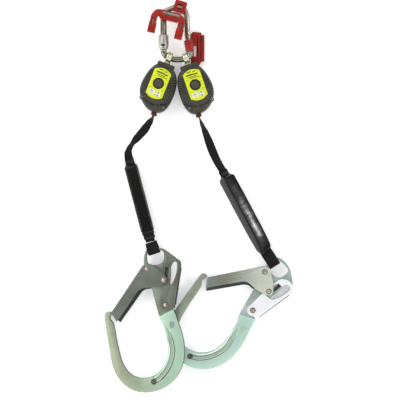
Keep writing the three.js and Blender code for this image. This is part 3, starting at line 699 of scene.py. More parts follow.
# Dark red: the web stop's own dark red band, and painted shade on the keeper.
RED_DARK_AND_SHADE = surface(
    "red_nylon_dark_and_painted_shade", [(0.10, 0.005, 0.004), (0.16, 0.008, 0.005)],
    rough=(0.35, 0.5), mottle=60, grain=1800, bump=0.1, Specular_IOR_Level=0.3,
)
WEBBING = surface(
    "black_webbing", [(0.006, 0.006, 0.006), (0.013, 0.013, 0.012)],
    rough=(0.72, 0.88), mottle=80, grain=3000, bump=0.5, weave=(210, 260, 0.5),
    Specular_IOR_Level=0.2, Sheen_Weight=0.06, Sheen_Roughness=0.5,
)
THREAD = surface(
    "stitch_thread", [(0.14, 0.14, 0.13), (0.26, 0.26, 0.24)], rough=(0.6, 0.75), mottle=400, bump=0.3,
)
FILM = surface(
    "shrink_film", [(0.003, 0.0035, 0.003), (0.006, 0.007, 0.005)],
    rough=(0.08, 0.2), mottle=9, grain=24, bump=0.06, Specular_IOR_Level=0.34,
)
# Dark tint for the pocket at the groove's end: painted shade.
POCKET_SHADE = surface(
    "painted_pocket_shade", [(0.09, 0.10, 0.06), (0.16, 0.18, 0.11)],
    metallic=0.4, rough=(0.5, 0.7), mottle=120, bump=0.2,
)


# ---- carabiner

CARABINER_LINE = [
    (-24.6, 90.4), (-20.5, 95), (-10, 100), (4, 104.4), (15, 100.4), (20.4, 89), (22, 70), (23, 48),
    (26.8, 26), (28.6, 14), (27, 7), (23, 2.6), (17, 0.2), (10, -1.1), (0, -1.2), (-8, 0.2),
    (-15, 3), (-20.4, 7), (-23.8, 11.6), (-24.8, 16.6),
]
BRIDGE_Z = 18.2
BRIDGE_R = 4.5
BRIDGE_FEET = ((-47.6, 60.8, -12), (6, 47.4, -14))
BRIDGE_LINE = [
    (-47.4, 62), (-45, 74), (-42.4, 84), (-36, 90.2), (-27, 89.6), (-10, 85.4), (4, 82), (10.4, 76.4),
    (10.4, 66), (7.4, 54),
]
CONNECTOR = shifted(0, 0, CARABINER_Z)


def level(points, z=0.0):
    return [(x, y, z) for x, y in points]


def build_carabiner():
    body = tube(level(CARABINER_LINE), ROD_R, 150, 32)
    tongue = block(GATE_X - 4, GATE_X + 4, GATE_PIVOT_Y - 3.6, 93, -1.8, 1.8)
    hole = place(disc(2, -4, 4), shifted(GATE_X, GATE_PIVOT_Y))
    body = merge(body, cut(tongue, hole))
    piece("carabiner_forging", body, CONNECTOR, POLISHED, "connector", ["carabiner_body"])

    shank = lathe([
        (0, GATE_FOOT_Y), (ROD_R - 0.6, GATE_FOOT_Y), (ROD_R, GATE_FOOT_Y + 1), (ROD_R, SLEEVE_TOP_Y + 0.6),
        (GATE_R, SLEEVE_TOP_Y + 1.6), (GATE_R, GATE_PIVOT_Y - 5), (GATE_R - 0.5, GATE_PIVOT_Y - 3),
        (GATE_R - 1.4, GATE_PIVOT_Y - 1), (4.4, GATE_PIVOT_Y + 1.2), (2.6, GATE_PIVOT_Y + 2.6),
        (0, GATE_PIVOT_Y + 2.6),
    ])
    place(shank, shifted(GATE_X, 0) @ ALONG_Y)
    fork = block(GATE_X - 8, GATE_X + 8, GATE_PIVOT_Y - 6.4, GATE_PIVOT_Y + 6, -2.3, 2.3)
    hole = place(disc(2, -8, 8), shifted(GATE_X, GATE_PIVOT_Y))
    gate = soften(cut(shank, fork, hole), 0.4)
    piece("gate_rod", gate, CONNECTOR, POLISHED, "gate", ["carabiner_gate"])

    pin = lathe([(0, -5.2), (1.3, -5.2), (1.65, -4.8), (1.65, 4.8), (1.3, 5.2), (0, 5.2)], 24)
    place(pin, shifted(GATE_X, GATE_PIVOT_Y))
    piece("gate_pin", pin, CONNECTOR, RIVET, "connector", ["gate_hinge_pin"])

    inner = ROD_R + 0.5
    low, high, groove = SLEEVE_BOTTOM_Y, SLEEVE_TOP_Y, SLEEVE_R - 0.35
    barrel = lathe([
        (inner, low), (7.0, low), (7.4, low + 0.4), (8.4, low + 1.6), (8.4, low + 2.6), (9.6, low + 3.6),
        (SLEEVE_R - 0.4, low + 6.4), (SLEEVE_R, low + 7.4), (SLEEVE_R, low + 9), (groove, low + 9.3),
        (groove, low + 10), (SLEEVE_R, low + 10.3), (SLEEVE_R, high - 4.4), (groove, high - 4.1),
        (groove, high - 3.5), (SLEEVE_R, high - 3.2), (SLEEVE_R, high - 2.2), (SLEEVE_R - 0.5, high - 0.9),
        (SLEEVE_R - 1.6, high), (inner, high),
        (inner, high - 2.4), (8.6, high - 2.4), (8.6, high - 7.2), (inner, high - 7.2), (inner, low),
    ], 56)
    place(barrel, shifted(GATE_X, 0) @ ALONG_Y)
    spot = shifted(GATE_X - 0.8, low + 8.6) @ Matrix.Diagonal((1.35, 0.85, 1, 1))
    barrel = soften(cut(barrel, place(disc(3.4, 7, 12), spot)), 0.25)
    plug = place(disc(3.3, 7.2, 8.9), spot)
    piece("barrel_button", plug, CONNECTOR, ZINC_SHADE, "sleeve", ())
    piece("twist_barrel", barrel, CONNECTOR, BARREL, "sleeve", ["twist_sleeve"])


def build_bridge():
    line = spline(level(BRIDGE_LINE, BRIDGE_Z), 90)
    bar = sweep(line, circle(0, 0, BRIDGE_R, 24))
    piece("bridge_pin", bar, CONNECTOR, POLISHED, "bridge", ["bridge_bar"])
    jacket = sweep(line, rounded_box(6.6, 7, 2.6))
    skirt = polygon((-36, 90), (6, 80), (3, 69.6), (-32, 78.4))
    parts = [prism(skirt, BRIDGE_Z - 6.6, BRIDGE_Z + 4)]
    for x, y, turn in BRIDGE_FEET:
        parts.append(prism(moved(rounded_box(7.7, 10.4, 1.4), x, y, turn), BRIDGE_Z - 7.2, BRIDGE_Z + 7.2))
    tools = [sweep(line, circle(0, 0, BRIDGE_R + GAP, 24))]
    window = polygon((-25, 98), (9, 89.6), (7, 79), (-26, 86.8))
    tools.append(prism(window, BRIDGE_Z + 1, BRIDGE_Z + 9))
    for x, y, turn in ((-45.6, 74.4, -12), (10.2, 63.4, -6)):
        tools.append(prism(moved(rounded_box(2.6, 6, 1), x, y, turn), BRIDGE_Z + 1, BRIDGE_Z + 9))
    for x, y, turn in BRIDGE_FEET:
        for k in (-4.6, 4.6):
            groove = moved(rounded_box(7.9, 0.35, 0.3), x - 0.2 * k, y + k, turn)
            tools.append(prism(groove, BRIDGE_Z + 6.7, BRIDGE_Z + 9))
    jacket = soften(cut(join(jacket, *parts), *tools), 0.8, 3)
    piece("bridge_moulding", jacket, CONNECTOR, RED, "bridge", ["bridge_jacket"])

    cube = prism(moved(rounded_box(12, 12, 1.8), 8.2, 103.4, -17), -9, 9.6)
    channel = tube(level(CARABINER_LINE[:9]), ROD_R + 0.9, 60, 28)
    window = prism(moved(rounded_box(5.4, 5, 2.2), 7.6, 103.2, -17), 2, 12)
    collar = soften(cut(cube, channel, window), 1.0, 3)
    piece("collar_moulding", collar, CONNECTOR, RED, "connector", ["bridge_collar"])


def build_keeper():
    barrel = lathe([(ROD_R + 0.7, 0), (9.0, 0), (9.4, 0.5), (9.4, 21.5), (9.0, 22), (ROD_R + 0.7, 22),
                    (ROD_R + 0.7, 0)])
    place(barrel, shifted(28.4, 15.6) @ turned(z=9) @ ALONG_Y)
    rim = [(29.4, -9), (39, -12), (46.4, -12), (50.4, -5), (57, -3), (57, 49), (51, 49.4), (51, 54),
           (33, 55.4), (29.4, 50.6)]
    plate = prism(polygon(*rim), -21.4, -12.4)
    web = block(29.6, 33.6, 14, 40, -14, 6)
    ribs = [block(x - 1.1, x + 1.1, -2, 48, -13, -10.6) for x in (46, 53.4)]
    slot = block(35.6, 40.4, 6, 27, -30, 10)
    clear = tube([(29, -10, 0), (28.6, 13, 0), (26.8, 26, 0), (23, 48, 0)], ROD_R + 0.8, 40, 28)
    arch = tube([(20, -2, 0), (25, 8, 0), (28.4, 18, 0)], ROD_R + 1, 30, 28)
    lines = [block(x - 0.8, x + 0.8, 0, 47, -14.6, -9) for x in (43.0, 49.7)]
    keeper = soften(cut(join(plate, web, barrel, *ribs), slot, clear, arch, *lines), 0.6, 2)
    keeper = piece("keeper_moulding", keeper, CONNECTOR, RED, "keeper", ["web_keeper"])

    # The floors of the keeper's cut lines and its part below the arch are painted dark red: painted shade.
    def keeper_shaded(p):
        return -14.8 < p.z < -14.4 or (p.y < 20 and p.x < 40 and -12 < p.z < 6)

    tint(keeper, CONNECTOR, RED_DARK_AND_SHADE, keeper_shaded)


# ---- retracting units

def case_outline(hand, inset, segments):
    inner, outer = CASE_INNER_HALF - inset, CASE_OUTER_HALF - inset
    low, top = CASE_BOTTOM + inset, CASE_TOP - inset
    shoulder = NECK_HALF_WIDTH - inset * 0.5
    pen = Pen(hand * 9, low, segments)
    pen.path(
        (-hand * 12, low, -hand * outer, -36, -hand * outer, -12),
        (-hand * outer, 10, -hand * (shoulder + 8), top - 8, -hand * shoulder, top),
        *[(-hand * shoulder + hand * 2 * shoulder * k / 20, top) for k in range(1, 21)],
        (hand * (shoulder + 14), top - 8, hand * inner, 10, hand * inner, -12),
        (hand * inner, -38, hand * 30, low, hand * 9, low),
    )
    return pen.points[:-1]


def smoothstep(a, b, x):
    t = min(max((x - a) / (b - a), 0), 1)
    return t * t * (3 - 2 * t)


RIBS_PER_TURN = 40
RIB_DEPTH = 1.5
LIP_OFFSET = 1.5
LIP_RADIUS = 40.5
LIP_DEPTH = 1.9
CREST_RADIUS = 45.0
CREST_HEIGHT = 1.7


def rib_hollow(q, p):
    """How far a point of the front lies in the hollows between the radial ribs, 0 to 1."""
    beside = smoothstep(17.5, 19.0, abs(q)) * smoothstep(-42, -34, p) * (1 - smoothstep(20, 27, p))
    wave = 0.5 - 0.5 * math.cos(math.atan2(p, q) * RIBS_PER_TURN)
    return beside * wave**1.6 * smoothstep(18, 21, math.hypot(q, p))


def lip_reach(hand, q, p):
    return math.hypot(q - hand * LIP_OFFSET, p + LIP_OFFSET)


def under_lip(hand, p):
    """Whether a point of the front lies in the step below the curved lip."""
    reach = lip_reach(hand, p.x, p.y)
    return LIP_RADIUS - 0.6 < reach < LIP_RADIUS + 2.2 and p.y < -21


def front_height(hand, q, p, z, top):
    """The height of a point of the front: lower between the ribs and below the lip, higher on the crest."""
    z -= RIB_DEPTH * rib_hollow(q, p) * smoothstep(5, 11, z)
    reach = lip_reach(hand, q, p)
    below = smoothstep(LIP_RADIUS - 0.7, LIP_RADIUS + 0.5, reach) * smoothstep(-20, -26, p)
    z -= LIP_DEPTH * below * smoothstep(5, 16, z)
    crest = math.exp(-(((reach - CREST_RADIUS) / 1.3) ** 2))
    z += CREST_HEIGHT * below * crest * (1 - smoothstep(10, 20, abs(q + hand)))
    return min(z, top)


def case_half(hand, front):
    half = CASE_DEPTH / 2
    steps = [(0, GAP / 2), (0, 6), (0, 11), (0, 14.6), (0.5, 16.8), (1.6, 18.9), (3.2, 20.6), (5.2, 21.8),
             (7.2, 22.6), (8.8, 22.95), (10.6, half), (12.4, half), (14.4, half), (16.6, half), (19, half)]
    rings = []
    for inset, z in steps:
        ring = []
        for v in case_outline(hand, inset, 110 if front else 30):
            h = front_height(hand, v.x, v.y, z, half) if front else z
            ring.append(Vector((v.x, v.y, h)))
        rings.append(ring)
    outer = loft(rings)
    inset = CASE_WALL
    hollow = loft([
        [Vector((v.x, v.y, z)) for v in case_outline(hand, i, 16)]
        for i, z in ((inset, -3), (inset, 13), (inset + 3, 18.2), (inset + 7, half - inset))
    ])
    neck_edge = 1.4
    neck = []
    for grow, z in ((0, GAP / 2), (0, NECK_HALF_DEPTH - neck_edge), (-neck_edge * 0.3, NECK_HALF_DEPTH - 0.4),
                    (-neck_edge, NECK_HALF_DEPTH)):
        box = moved(rounded_box(NECK_HALF_WIDTH + grow, 9.5 + grow, 2.4 + grow * 0.5), 0, NECK_TOP - 9.5)
        neck.append([Vector((v.x, v.y, z)) for v in box])
    places = [(hand * q, p) for q, p in BOSSES]
    bosses = [place(disc(4.6, GAP / 2, 13), shifted(q, p)) for q, p in places]
    holes = [place(disc(1.95, -5, 30, 20), shifted(q, p)) for q, p in places]
    spots = [place(disc(3.75, 13, 30), shifted(q, p)) for q, p in places]
    middle = hand * NOZZLE_Q
    nozzle = block(middle - 5.3, middle + 5.3, NOZZLE_P - 4, NOZZLE_P + 14, -3, 11.3)
    bore = place(disc(5.6, 30, 60), ALONG_Y)
    shell = cut(outer, hollow)
    shell = cut(join(shell, loft(neck), *bosses), nozzle, bore, *holes, *spots)
    if not front:
        place(shell, Matrix.Diagonal((1, 1, -1, 1)))
        shell.data.flip_normals()
    return shell


def swivel_eye():
    half = [(10.7, 0), (10.9, 0.9), (11.7, 1.5), (12, 2.6), (11.7, 4.0), (10.8, 5.0), (9.6, 5.3), (8.6, 5.0),
            (7.8, 4.0), (7.5, 2.4), (7.4, 0)]
    ring = lathe([(r, -z) for r, z in reversed(half)] + half[:-1] + [(7.4, 0)])
    place(ring, shifted(0, EYE_REACH) @ turned(y=90))
    shank = lathe([
        (0, 29.6), (7.4, 29.6), (7.4, 32.8), (5.1, 32.8), (5.1, 43.6), (6.4, 44.5), (6.6, 46.0), (5.6, 47.6),
        (4.6, 48.4), (0, 48.4),
    ], 32)
    place(shank, ALONG_Y)
    return join(ring, shank)


def label_outline():
    half_x, side, crown = 17.5, 25, 38
    pen = Pen(-half_x, -side, 16)
    return pen.path((0, -crown, half_x, -side), (half_x, side), (0, crown, -half_x, side)).done()


def build_label(side, where, body):
    low = CASE_DEPTH / 2 + 0.1
    top = CASE_DEPTH / 2 + 1.15
    plate = soften(prism(label_outline(), low, top, [circle(0, 0, 11.2, 48)]), 0.35)
    piece(f"{side}_label", plate, where, LABEL, body, [f"{side}_label_plate"])
    z0, z1 = top - 0.3, top + 0.12
    bars = [(-4.4, 27.6, 9, 2.0), (5.4, 26.4, 6, 1.6), (-4.2, 21.6, 16, 3.0), (8.0, 20.6, 8, 2.8),
            (-1.6, 17.2, 18, 1.4), (3.2, 14.4, 19, 1.3), (-12.2, 12.4, 5.4, 0.6), (12.6, 12.2, 5, 0.6),
            (13.4, 3.4, 2.4, 1.0), (-12.8, -12.2, 4.4, 0.7), (12.4, -11.4, 4.6, 0.7)]
    marks = [prism(moved(rounded_box(w / 2, h / 2, h * 0.3), x, y), z0, z1) for x, y, w, h in bars]
    piece(f"{side}_label_lines", merge(*marks), where, LABEL_INK, body, ())
    pads = [prism(moved(rounded_box(5.2, 5.0, 0.8), -7.2, -19.6), z0, z1),
            prism(moved(rounded_box(5.4, 5.0, 0.8), 5.8, -20.4), z0, z1)]
    piece(f"{side}_label_panels", merge(*pads), where, LABEL_PALE, body, ())
    cells = []
    for i in range(5):
        for j in range(5):
            if (i * 7 + j * 5 + i * j) % 3 != 1:
                cells.append((2.0 + i * 1.9, -24.2 + j * 1.9, 0.86, 0.86))
    cells += [(-9.6, -18.2, 0.5, 3.0), (-8.0, -18.2, 0.5, 3.0), (-5.2, -18.2, 1.2, 1.2),
              (-7.2, -23.0, 3.6, 0.4)]
    dots = [block(x - w, x + w, y - h, y + h, z1 - 0.1, z1 + 0.1) for x, y, w, h in cells]
    piece(f"{side}_label_grid", merge(*dots), where, LABEL_GREY, body, ())


STRIPE = (NOZZLE_P - 7.4, NOZZLE_P - 3.6)


def build_unit(side, facts):
    hand = facts["hand"]
    where = shifted(facts["hub"][0], facts["hub"][1], CASE_DEPTH / 2) @ turned(z=facts["tilt"])
    body = f"{side}_case"
    covers = {}
    for end in ("front", "rear"):
        covers[end] = piece(
            f"{side}_{end}_cover", case_half(hand, end == "front"), where, SHELL, body,
            [f"{side}_{end}_shell"], 40,
        )

    # The front's rib hollows and the step below the lip are painted darker: painted shade.
    def hollow(p):
        return p.z > 4 and (rib_hollow(p.x, p.y) > 0.5 or under_lip(hand, p))

    tint(covers["front"], where, SHELL_HOLLOW_SHADE, hollow)
    build_label(side, where, body)

    base = CASE_DEPTH / 2 + 0.1
    ring = lathe([
        (8.2, base), (11.0, base), (11.0, base + 1.2), (10.6, base + 1.9), (9.6, base + 2.3),
        (8.9, base + 2.0), (8.2, base + 1.2), (8.2, base),
    ], 64)
    piece(f"{side}_hub_ring", ring, where, NYLON, body, [f"{side}_hub_cap"])
    cap = lathe([
        (0, base), (7.9, base), (7.9, base + 1.3), (7.5, base + 1.75), (6.8, base + 1.9), (0, base + 2.0),
    ], 64)
    grooves = [block(x - 0.3, x + 0.3, -5.4, 5.4, base + 1.7, base + 4) for x in (-2.2, 0, 2.2)]
    piece(f"{side}_hub_plug", cut(cap, *grooves), where, CAP, body, ())

    eye_body = "left_eye" if side == "left" else body
    eye = soften(swivel_eye(), 0.3)
    piece(f"{side}_eye_forging", eye, where, BRASSY, eye_body, [f"{side}_swivel_eye"])

    for i, (q, p) in enumerate(BOSSES):
        eyelet = lathe([
            (0, -12.6), (1.6, -12.6), (1.6, 13.3), (2.9, 13.3), (2.9, 20.4), (2.6, 21.2), (2.1, 21.2),
            (1.8, 20.4), (1.8, 15), (1.0, 15), (1.0, 14.2), (0, 14.2),
        ], 28)
        place(eyelet, shifted(hand * q, p))
        name = f"{side}_case_screw_{i + 1}"
        piece(f"{side}_eyelet_{i + 1}", eyelet, where, BARREL, body, [name])

    middle = hand * NOZZLE_Q
    guide = block(middle - 4.9, middle + 4.9, NOZZLE_P - 0.6, NOZZLE_P + 9, -10.9, 10.9)
    slot = block(middle - 1.9, middle + 1.9, NOZZLE_P - 4, NOZZLE_P + 12, -9.2, 9.2)
    guide = soften(cut(guide, slot), 0.5)
    piece(f"{side}_nozzle", guide, where, NYLON, body, [f"{side}_web_guide"])

    bar = place(prism(rounded_box(5.6, 3, 1.2), -11.4, 11.4), shifted(middle, NOZZLE_P - 5))
    lines = [block(middle - 7, middle + 7, p - 0.2, p + 0.2, -14, 14) for p in STRIPE]
    core = place(prism(rounded_box(5.3, 2.7, 1.0), -11.1, 11.1), shifted(middle, NOZZLE_P - 5))
    bar = join(cut(bar, *lines), core)
    slot = block(middle - 2.2, middle + 2.2, NOZZLE_P - 12, NOZZLE_P + 2, -9.4, 9.4)
    bar = soften(cut(bar, slot), 0.5, 3)
    bar = piece(f"{side}_stop_bar", bar, where, NYLON, f"{side}_web", [f"{side}_web_stop"])
    # The stop's band in its own dark red.
    tint(bar, where, RED_DARK_AND_SHADE, lambda p: STRIPE[0] < p.y < STRIPE[1])


# ---- webbing

def strap_mesh(line, wides, width, thickness, columns=8):
    """A flat strap with rounded edges and UVs in metres; wides are its width directions along line."""
    section = []
    half, edge = width / 2, thickness / 2
    for i in range(columns + 1):
        section.append((-half + edge * 0.7 + (width - 1.4 * edge) * i / columns, edge))
    section.append((half - edge * 0.15, edge * 0.6))
    section.append((half, 0))
    section.append((half - edge * 0.15, -edge * 0.6))
    for i in range(columns + 1):
        section.append((half - edge * 0.7 - (width - 1.4 * edge) * i / columns, -edge))
    section.append((-half + edge * 0.15, -edge * 0.6))
    section.append((-half, 0))
    section.append((-half + edge * 0.15, edge * 0.6))
    n = len(section)
    verts, reach = [], [0.0]
    for a, b in zip(line, line[1:]):
        reach.append(reach[-1] + (b - a).length)
    for i, p in enumerate(line):
        along = (line[min(i + 1, len(line) - 1)] - line[max(i - 1, 0)]).normalized()
        wide = (wides[i] - along * wides[i].dot(along)).normalized()
        thick = along.cross(wide)
        verts += [p + wide * s + thick * t for s, t in section]
    sides, ends = skin(len(line), n)
    mesh = bpy.data.meshes.new("strap")
    mesh.from_pydata([tuple(v) for v in verts], [], ends + sides)
    layer = mesh.uv_layers.new(name="UVMap")
    for poly in mesh.polygons:
        for loop in poly.loop_indices:
            v = mesh.loops[loop].vertex_index
            row, column = divmod(v, n)
            layer.data[loop].uv = (section[column][0] * MM, reach[row] * MM)
    work = bmesh.new()
    work.from_mesh(mesh)
    bmesh.ops.recalc_face_normals(work, faces=work.faces)
    work.to_mesh(mesh)
    work.free()
    ob = bpy.data.objects.new("strap", mesh)
    scene.collection.objects.link(ob)
    return ob


def route_line(route, steps):
    """A strap's line through the route's (x, y, z, twist) rows, and its width directions."""
    line = spline([row[:3] for row in route], steps)
    knots = [0.0]
    for a, b in zip(route, route[1:]):
        knots.append(knots[-1] + (Vector(b[:3]) - Vector(a[:3])).length)
    wides, done = [], 0.0
    total = length_of(line)
    for i, p in enumerate(line):
        if i:
            done += (p - line[i - 1]).length
        want = done / total * knots[-1]
        k = 0
        while k < len(knots) - 2 and knots[k + 1] < want:
            k += 1
        share = smoothstep(0, 1, (want - knots[k]) / (knots[k + 1] - knots[k]))
        twist = math.radians(route[k][3] + (route[k + 1][3] - route[k][3]) * share)
        along = (line[min(i + 1, steps)] - line[max(i - 1, 0)]).normalized()
        rise = UP - along * along.z
        rise.normalize()
        across = along.cross(rise)
        wides.append(rise * math.cos(twist) + across * math.sin(twist))
    return line, wides


def build_strap(side, facts):
    rows = [tuple(row) for row in facts["route"]]
    rows[-1] = (*Vector(rows[-1][:3]).lerp(Vector(facts["pack_top"]), 0.9), rows[-1][3])
    line, wides = route_line(rows, 96)
    strap = strap_mesh(line, wides, WEB_WIDTH, WEB_THICKNESS)
    ob = piece(
        f"{side}_webbing", strap, Matrix.Identity(4), WEBBING, f"{side}_web", [f"{side}_web_strap"],
        60,
    )


def along_line(start, end, up, roll):
    """Axes at start with z towards end and y leaning towards up."""
    z = (end - start).normalized()
    x = up.cross(z).normalized()
    y = z.cross(x)
    turn = Matrix((x, y, z)).transposed().to_4x4()
    return Matrix.Translation(start) @ turn @ Matrix.Rotation(math.radians(roll), 4, "Z")


def pack_frame(facts):
    start, end = Vector(facts["pack_top"]), Vector(facts["pack_end"])
    return along_line(start, end, UP, facts["pack_roll"]), (end - start).length


def hook_frame(facts):
    return shifted(*facts["hook_at"]) @ turned(y=-facts["hook_tilt"], z=facts["hook_turn"])


RING_STEP = 2.0
FILM_SWELL = 0.012
FILM_RIPPLE = 0.125


def pack_ring(z, half_x, half_y, r, seed):
    """One ring of the film, swollen and rippled by a broad and a fine noise."""
    ring = []
    for v in rounded_box(half_x, half_y, min(r, half_y * 0.8), 6):
        n = noise.noise(Vector((v.x * 0.09 + seed, v.y * 0.16, z * 0.05)))
        n += 0.5 * noise.noise(Vector((v.x * 0.3 + seed, v.y * 0.3, z * 0.16)))
        outwards = 1 if v.y > 0 else -1
        ring.append(Vector((v.x * (1 + FILM_SWELL * n), v.y + FILM_RIPPLE * n * outwards, z)))
    return ring


def denser(profile):
    """A profile's rows with rows blended in between, about RING_STEP apart."""
    rows = []
    for a, b in zip(profile, profile[1:]):
        count = max(1, round((b[0] - a[0]) / RING_STEP))
        for k in range(count):
            rows.append([a[i] + (b[i] - a[i]) * k / count for i in range(4)])
    rows.append(list(profile[-1]))
    return rows


def build_pack(side, facts):
    where, size = pack_frame(facts)
    body = f"{side}_pack"
    wide, deep = PACK_WIDTH / 2, PACK_THICKNESS / 2
    if side == "left":
        profile = [
            (8.5, 9.9, 4.2, 2), (10, 10.4, 5.4, 2.4), (12.4, 12.2, 9.6, 3.6), (16, wide, deep - 0.2, 4.6),
            (size - 30, wide, deep, 5), (size - 21.5, wide, deep, 4.4), (size - 20.5, wide, deep, 3.6),
            (size - 19.2, 12.2, 9.6, 2.8), (size - 17.8, 12.0, 8.8, 2.6), (size - 15.2, 12.6, 9.8, 3.4),
            (size - 13.6, 12.6, 9.8, 3.4), (size - 12.2, 11.2, 7.4, 2.6), (size - 10.6, 11.1, 7.0, 2.6),
            (size - 8.0, 12.0, 8.0, 3.2), (size - 6.8, 11.8, 7.6, 3.2), (size - 5.2, 11.0, 5.8, 2.6),
            (size - 3.2, 10.8, 5.4, 2.4),
        ]
    else:
        profile = [
            (8.6, 9.9, 4.2, 2), (10.4, 10.8, 6.2, 2.6), (13, 12.4, 10.4, 3), (17, wide, deep - 0.1, 3),
            (60, wide, deep, 2.6), (size - 52, wide, deep, 2.8), (size - 30, wide, deep - 0.4, 3.2),
            (size - 9, wide - 0.1, deep - 1.5, 3.8), (size - 4, 12.7, 9.4, 4), (size - 1.4, 11.9, 7.6, 3.4),
            (size + 0.4, 11.3, 6.4, 2.8), (size + 2.2, 11.6, 6.4, 2.8), (size + 3.8, 10.9, 5.4, 2.4),
        ]
    seed = 3.1 if side == "left" else 9.7
    rings = [pack_ring(*row, seed) for row in denser(profile)]
    seam = tube([(-11.3, 10.5, 22), (-11.7, 10.9, size / 2), (-11.5, 10.6, size - 30)], 0.8, 60, 12)
    film = join(loft(rings), seam)
    piece(f"{side}_pack_film", film, where, FILM, body, [f"{side}_shock_pack"], 50)

    layers = []
    for k in range(5):
        y = -2.8 + 1.4 * k
        half = 9.4 - 0.25 * abs(k - 2)
        top = -3.4 if k in (0, 4) else 4.4
        for z0, z1 in ((top, 11.5), (size - 6, size + 2.4)):
            layers.append(place(prism(rounded_box(half, 0.62, 0.4, 3), z0, z1), shifted(0, y)))
    core = merge(*layers)
    piece(f"{side}_folded_core", core, where, WEBBING, body, [f"{side}_tear_webbing"])

    stitches = []
    for row in (3.0, 6.6):
        for k in range(11):
            x = -7.5 + 1.5 * k
            stitch = prism(rounded_box(0.45, 0.2, 0.2, 3), 3.3, 3.62)
            stitches.append(place(stitch, shifted(x, 0, row) @ turned(x=-90)))
    piece(f"{side}_pack_stitches", merge(*stitches), where, THREAD, body, ())


def build_loop(side, facts):
    hook = hook_frame(facts)
    end = Vector(facts["pack_end"])
    fold = hook @ Vector((*facts["fold"], 0))
    normal = hook.to_3x3() @ UP
    start = end + (fold - end).normalized() * (GAP + 3)
    where = along_line(start, fold, normal, 0)
    size = (fold - start).length
    r = LOOP_INNER_HALF + LOOP_THICKNESS / 2
    centre = size - LOOP_INNER_HALF - LOOP_THICKNESS
    half = LOOP_THICKNESS / 2 + 0.1
    points = [(0.2, half), (3, half + 0.9), (7, half + 2.6), (11.5, r - 0.2), (13, r)]
    points = [p for p in points if p[0] < centre - 1]
    turns = [(centre + r * math.sin(t), r * math.cos(t)) for t in (math.pi * k / 12 for k in range(13))]
    back = [(z, -y) for z, y in reversed(points)]
    line = [Vector((0, y, z)) for z, y in points + turns + back]
    line = spline(line, 84)
    band = strap_mesh(line, [Vector((1, 0, 0))] * len(line), LOOP_WIDTH, LOOP_THICKNESS, 10)
    piece(
        f"{side}_loop_webbing", band, where, WEBBING, f"{side}_pack", [f"{side}_end_loop"],
        60,
    )


# ---- scaffold hooks

def limb_outline():
    pen = Pen(24.6, -95)
    pen.path(
        (53, -81), (57, -90), (63, -111, 75, -134, 75, -164), (75, -214, 40, -247, -5, -247),
        (-40, -247, -65, -220, -72, -186), (-86, -102),
    )
    pen.arc(-78.6, -94.6, 8, math.pi * 1.1, math.pi * 0.28, 20)
    pen.path(
        (-76.4, -100.6), (-69, -110), (-64, -137, -60, -158, -56, -172), (-50, -200, -34, -219, -10, -219),
        (18, -219, 43, -194, 42.6, -162), (42.4, -145, 37, -128, 33.6, -112), (26, -100.6),
    )
    return pen.done()


def neck_outline():
    """The flat neck's rim, and its holes: the strap's eye, two rivet holes and the latch's slot."""
    pen = Pen(26, -100).path(
        (52, -88), (50, -62), (41, -40, 47.5, -24, 47, -4), (46, 8, 52, 15, 60, 17), (57, 23), (36, 38),
        (26, 44, 8, 45, 0, 39.4), (-6.6, 34, -8, 20, -6.8, 10), (-6, 2, -2, -16, 9.6, -41), (17, -70),
        (22, -88),
    )
    eye = Pen(-1, 24).path(
        (-1, 36.4, 1, 37.4, 16, 37.4), (32, 37.4, 33.8, 36, 33.8, 24), (33.4, 11, 22, 8, 15, 8),
        (0, 8, -1, 10, -1, 24),
    )
    reach = math.hypot(*LATCH_AT)
    start = math.atan2(LATCH_AT[1], LATCH_AT[0]) - 0.1
    stop = start + math.radians(48)
    slot = Pen((reach + 3.7) * math.cos(start), (reach + 3.7) * math.sin(start))
    slot.arc(0, 0, reach + 3.7, start, stop, 20)
    slot.arc(0, 0, reach - 3.7, stop, start, 20)
    holes = [eye.done(), circle(0, 0, RIVET_R + 0.35), circle(*LEVER_AT, RIVET_R + 0.35), slot.done()]
    return pen.done(), holes


WORN_EDGE = [
    (31.5, -118), (36, -133), (40, -147), (42.6, -162), (39.6, -180), (32.5, -196), (21.5, -209.5),
    (12, -215.6),
]
GROOVE_OFFSET = 9.4
EDGE_SCOOP = (0, 8.6, (8.2, 6.8, 6.8, 6.8))
GROOVE_SCOOP = (GROOVE_OFFSET, 6.2, (6.2, 4.1, 3.9, 3.9, 3.8))
GROOVE_REACH = 5.6
POCKET = (13.6, -225.4)
POCKET_R = 6.6
POCKET_LIFT = 3.4
POCKET_RIM = 7
POCKET_FLOOR = 5.4
STAMP_X = (46, 54.7)
STAMP_Y = (-116.5, -105)
STAMP_DEPTH = 0.5


def beside_edge(offset, heights, steps=70):
    """A line beside the worn inner edge of the spine and bend, with heights spread along it."""
    line = spline([(u, v, 0) for u, v in WORN_EDGE], steps)
    points = []
    for i, p in enumerate(line):
        along = (line[min(i + 1, steps)] - line[max(i - 1, 0)]).normalized()
        share = i / steps * (len(heights) - 1)
        k = min(int(share), len(heights) - 2)
        z = heights[k] + (heights[k + 1] - heights[k]) * (share - k)
        points.append(Vector((p.x - along.y * offset, p.y + along.x * offset, z)))
    return points


def near(p, line, distance):
    return any((p.xy - q).length < distance for q in line)


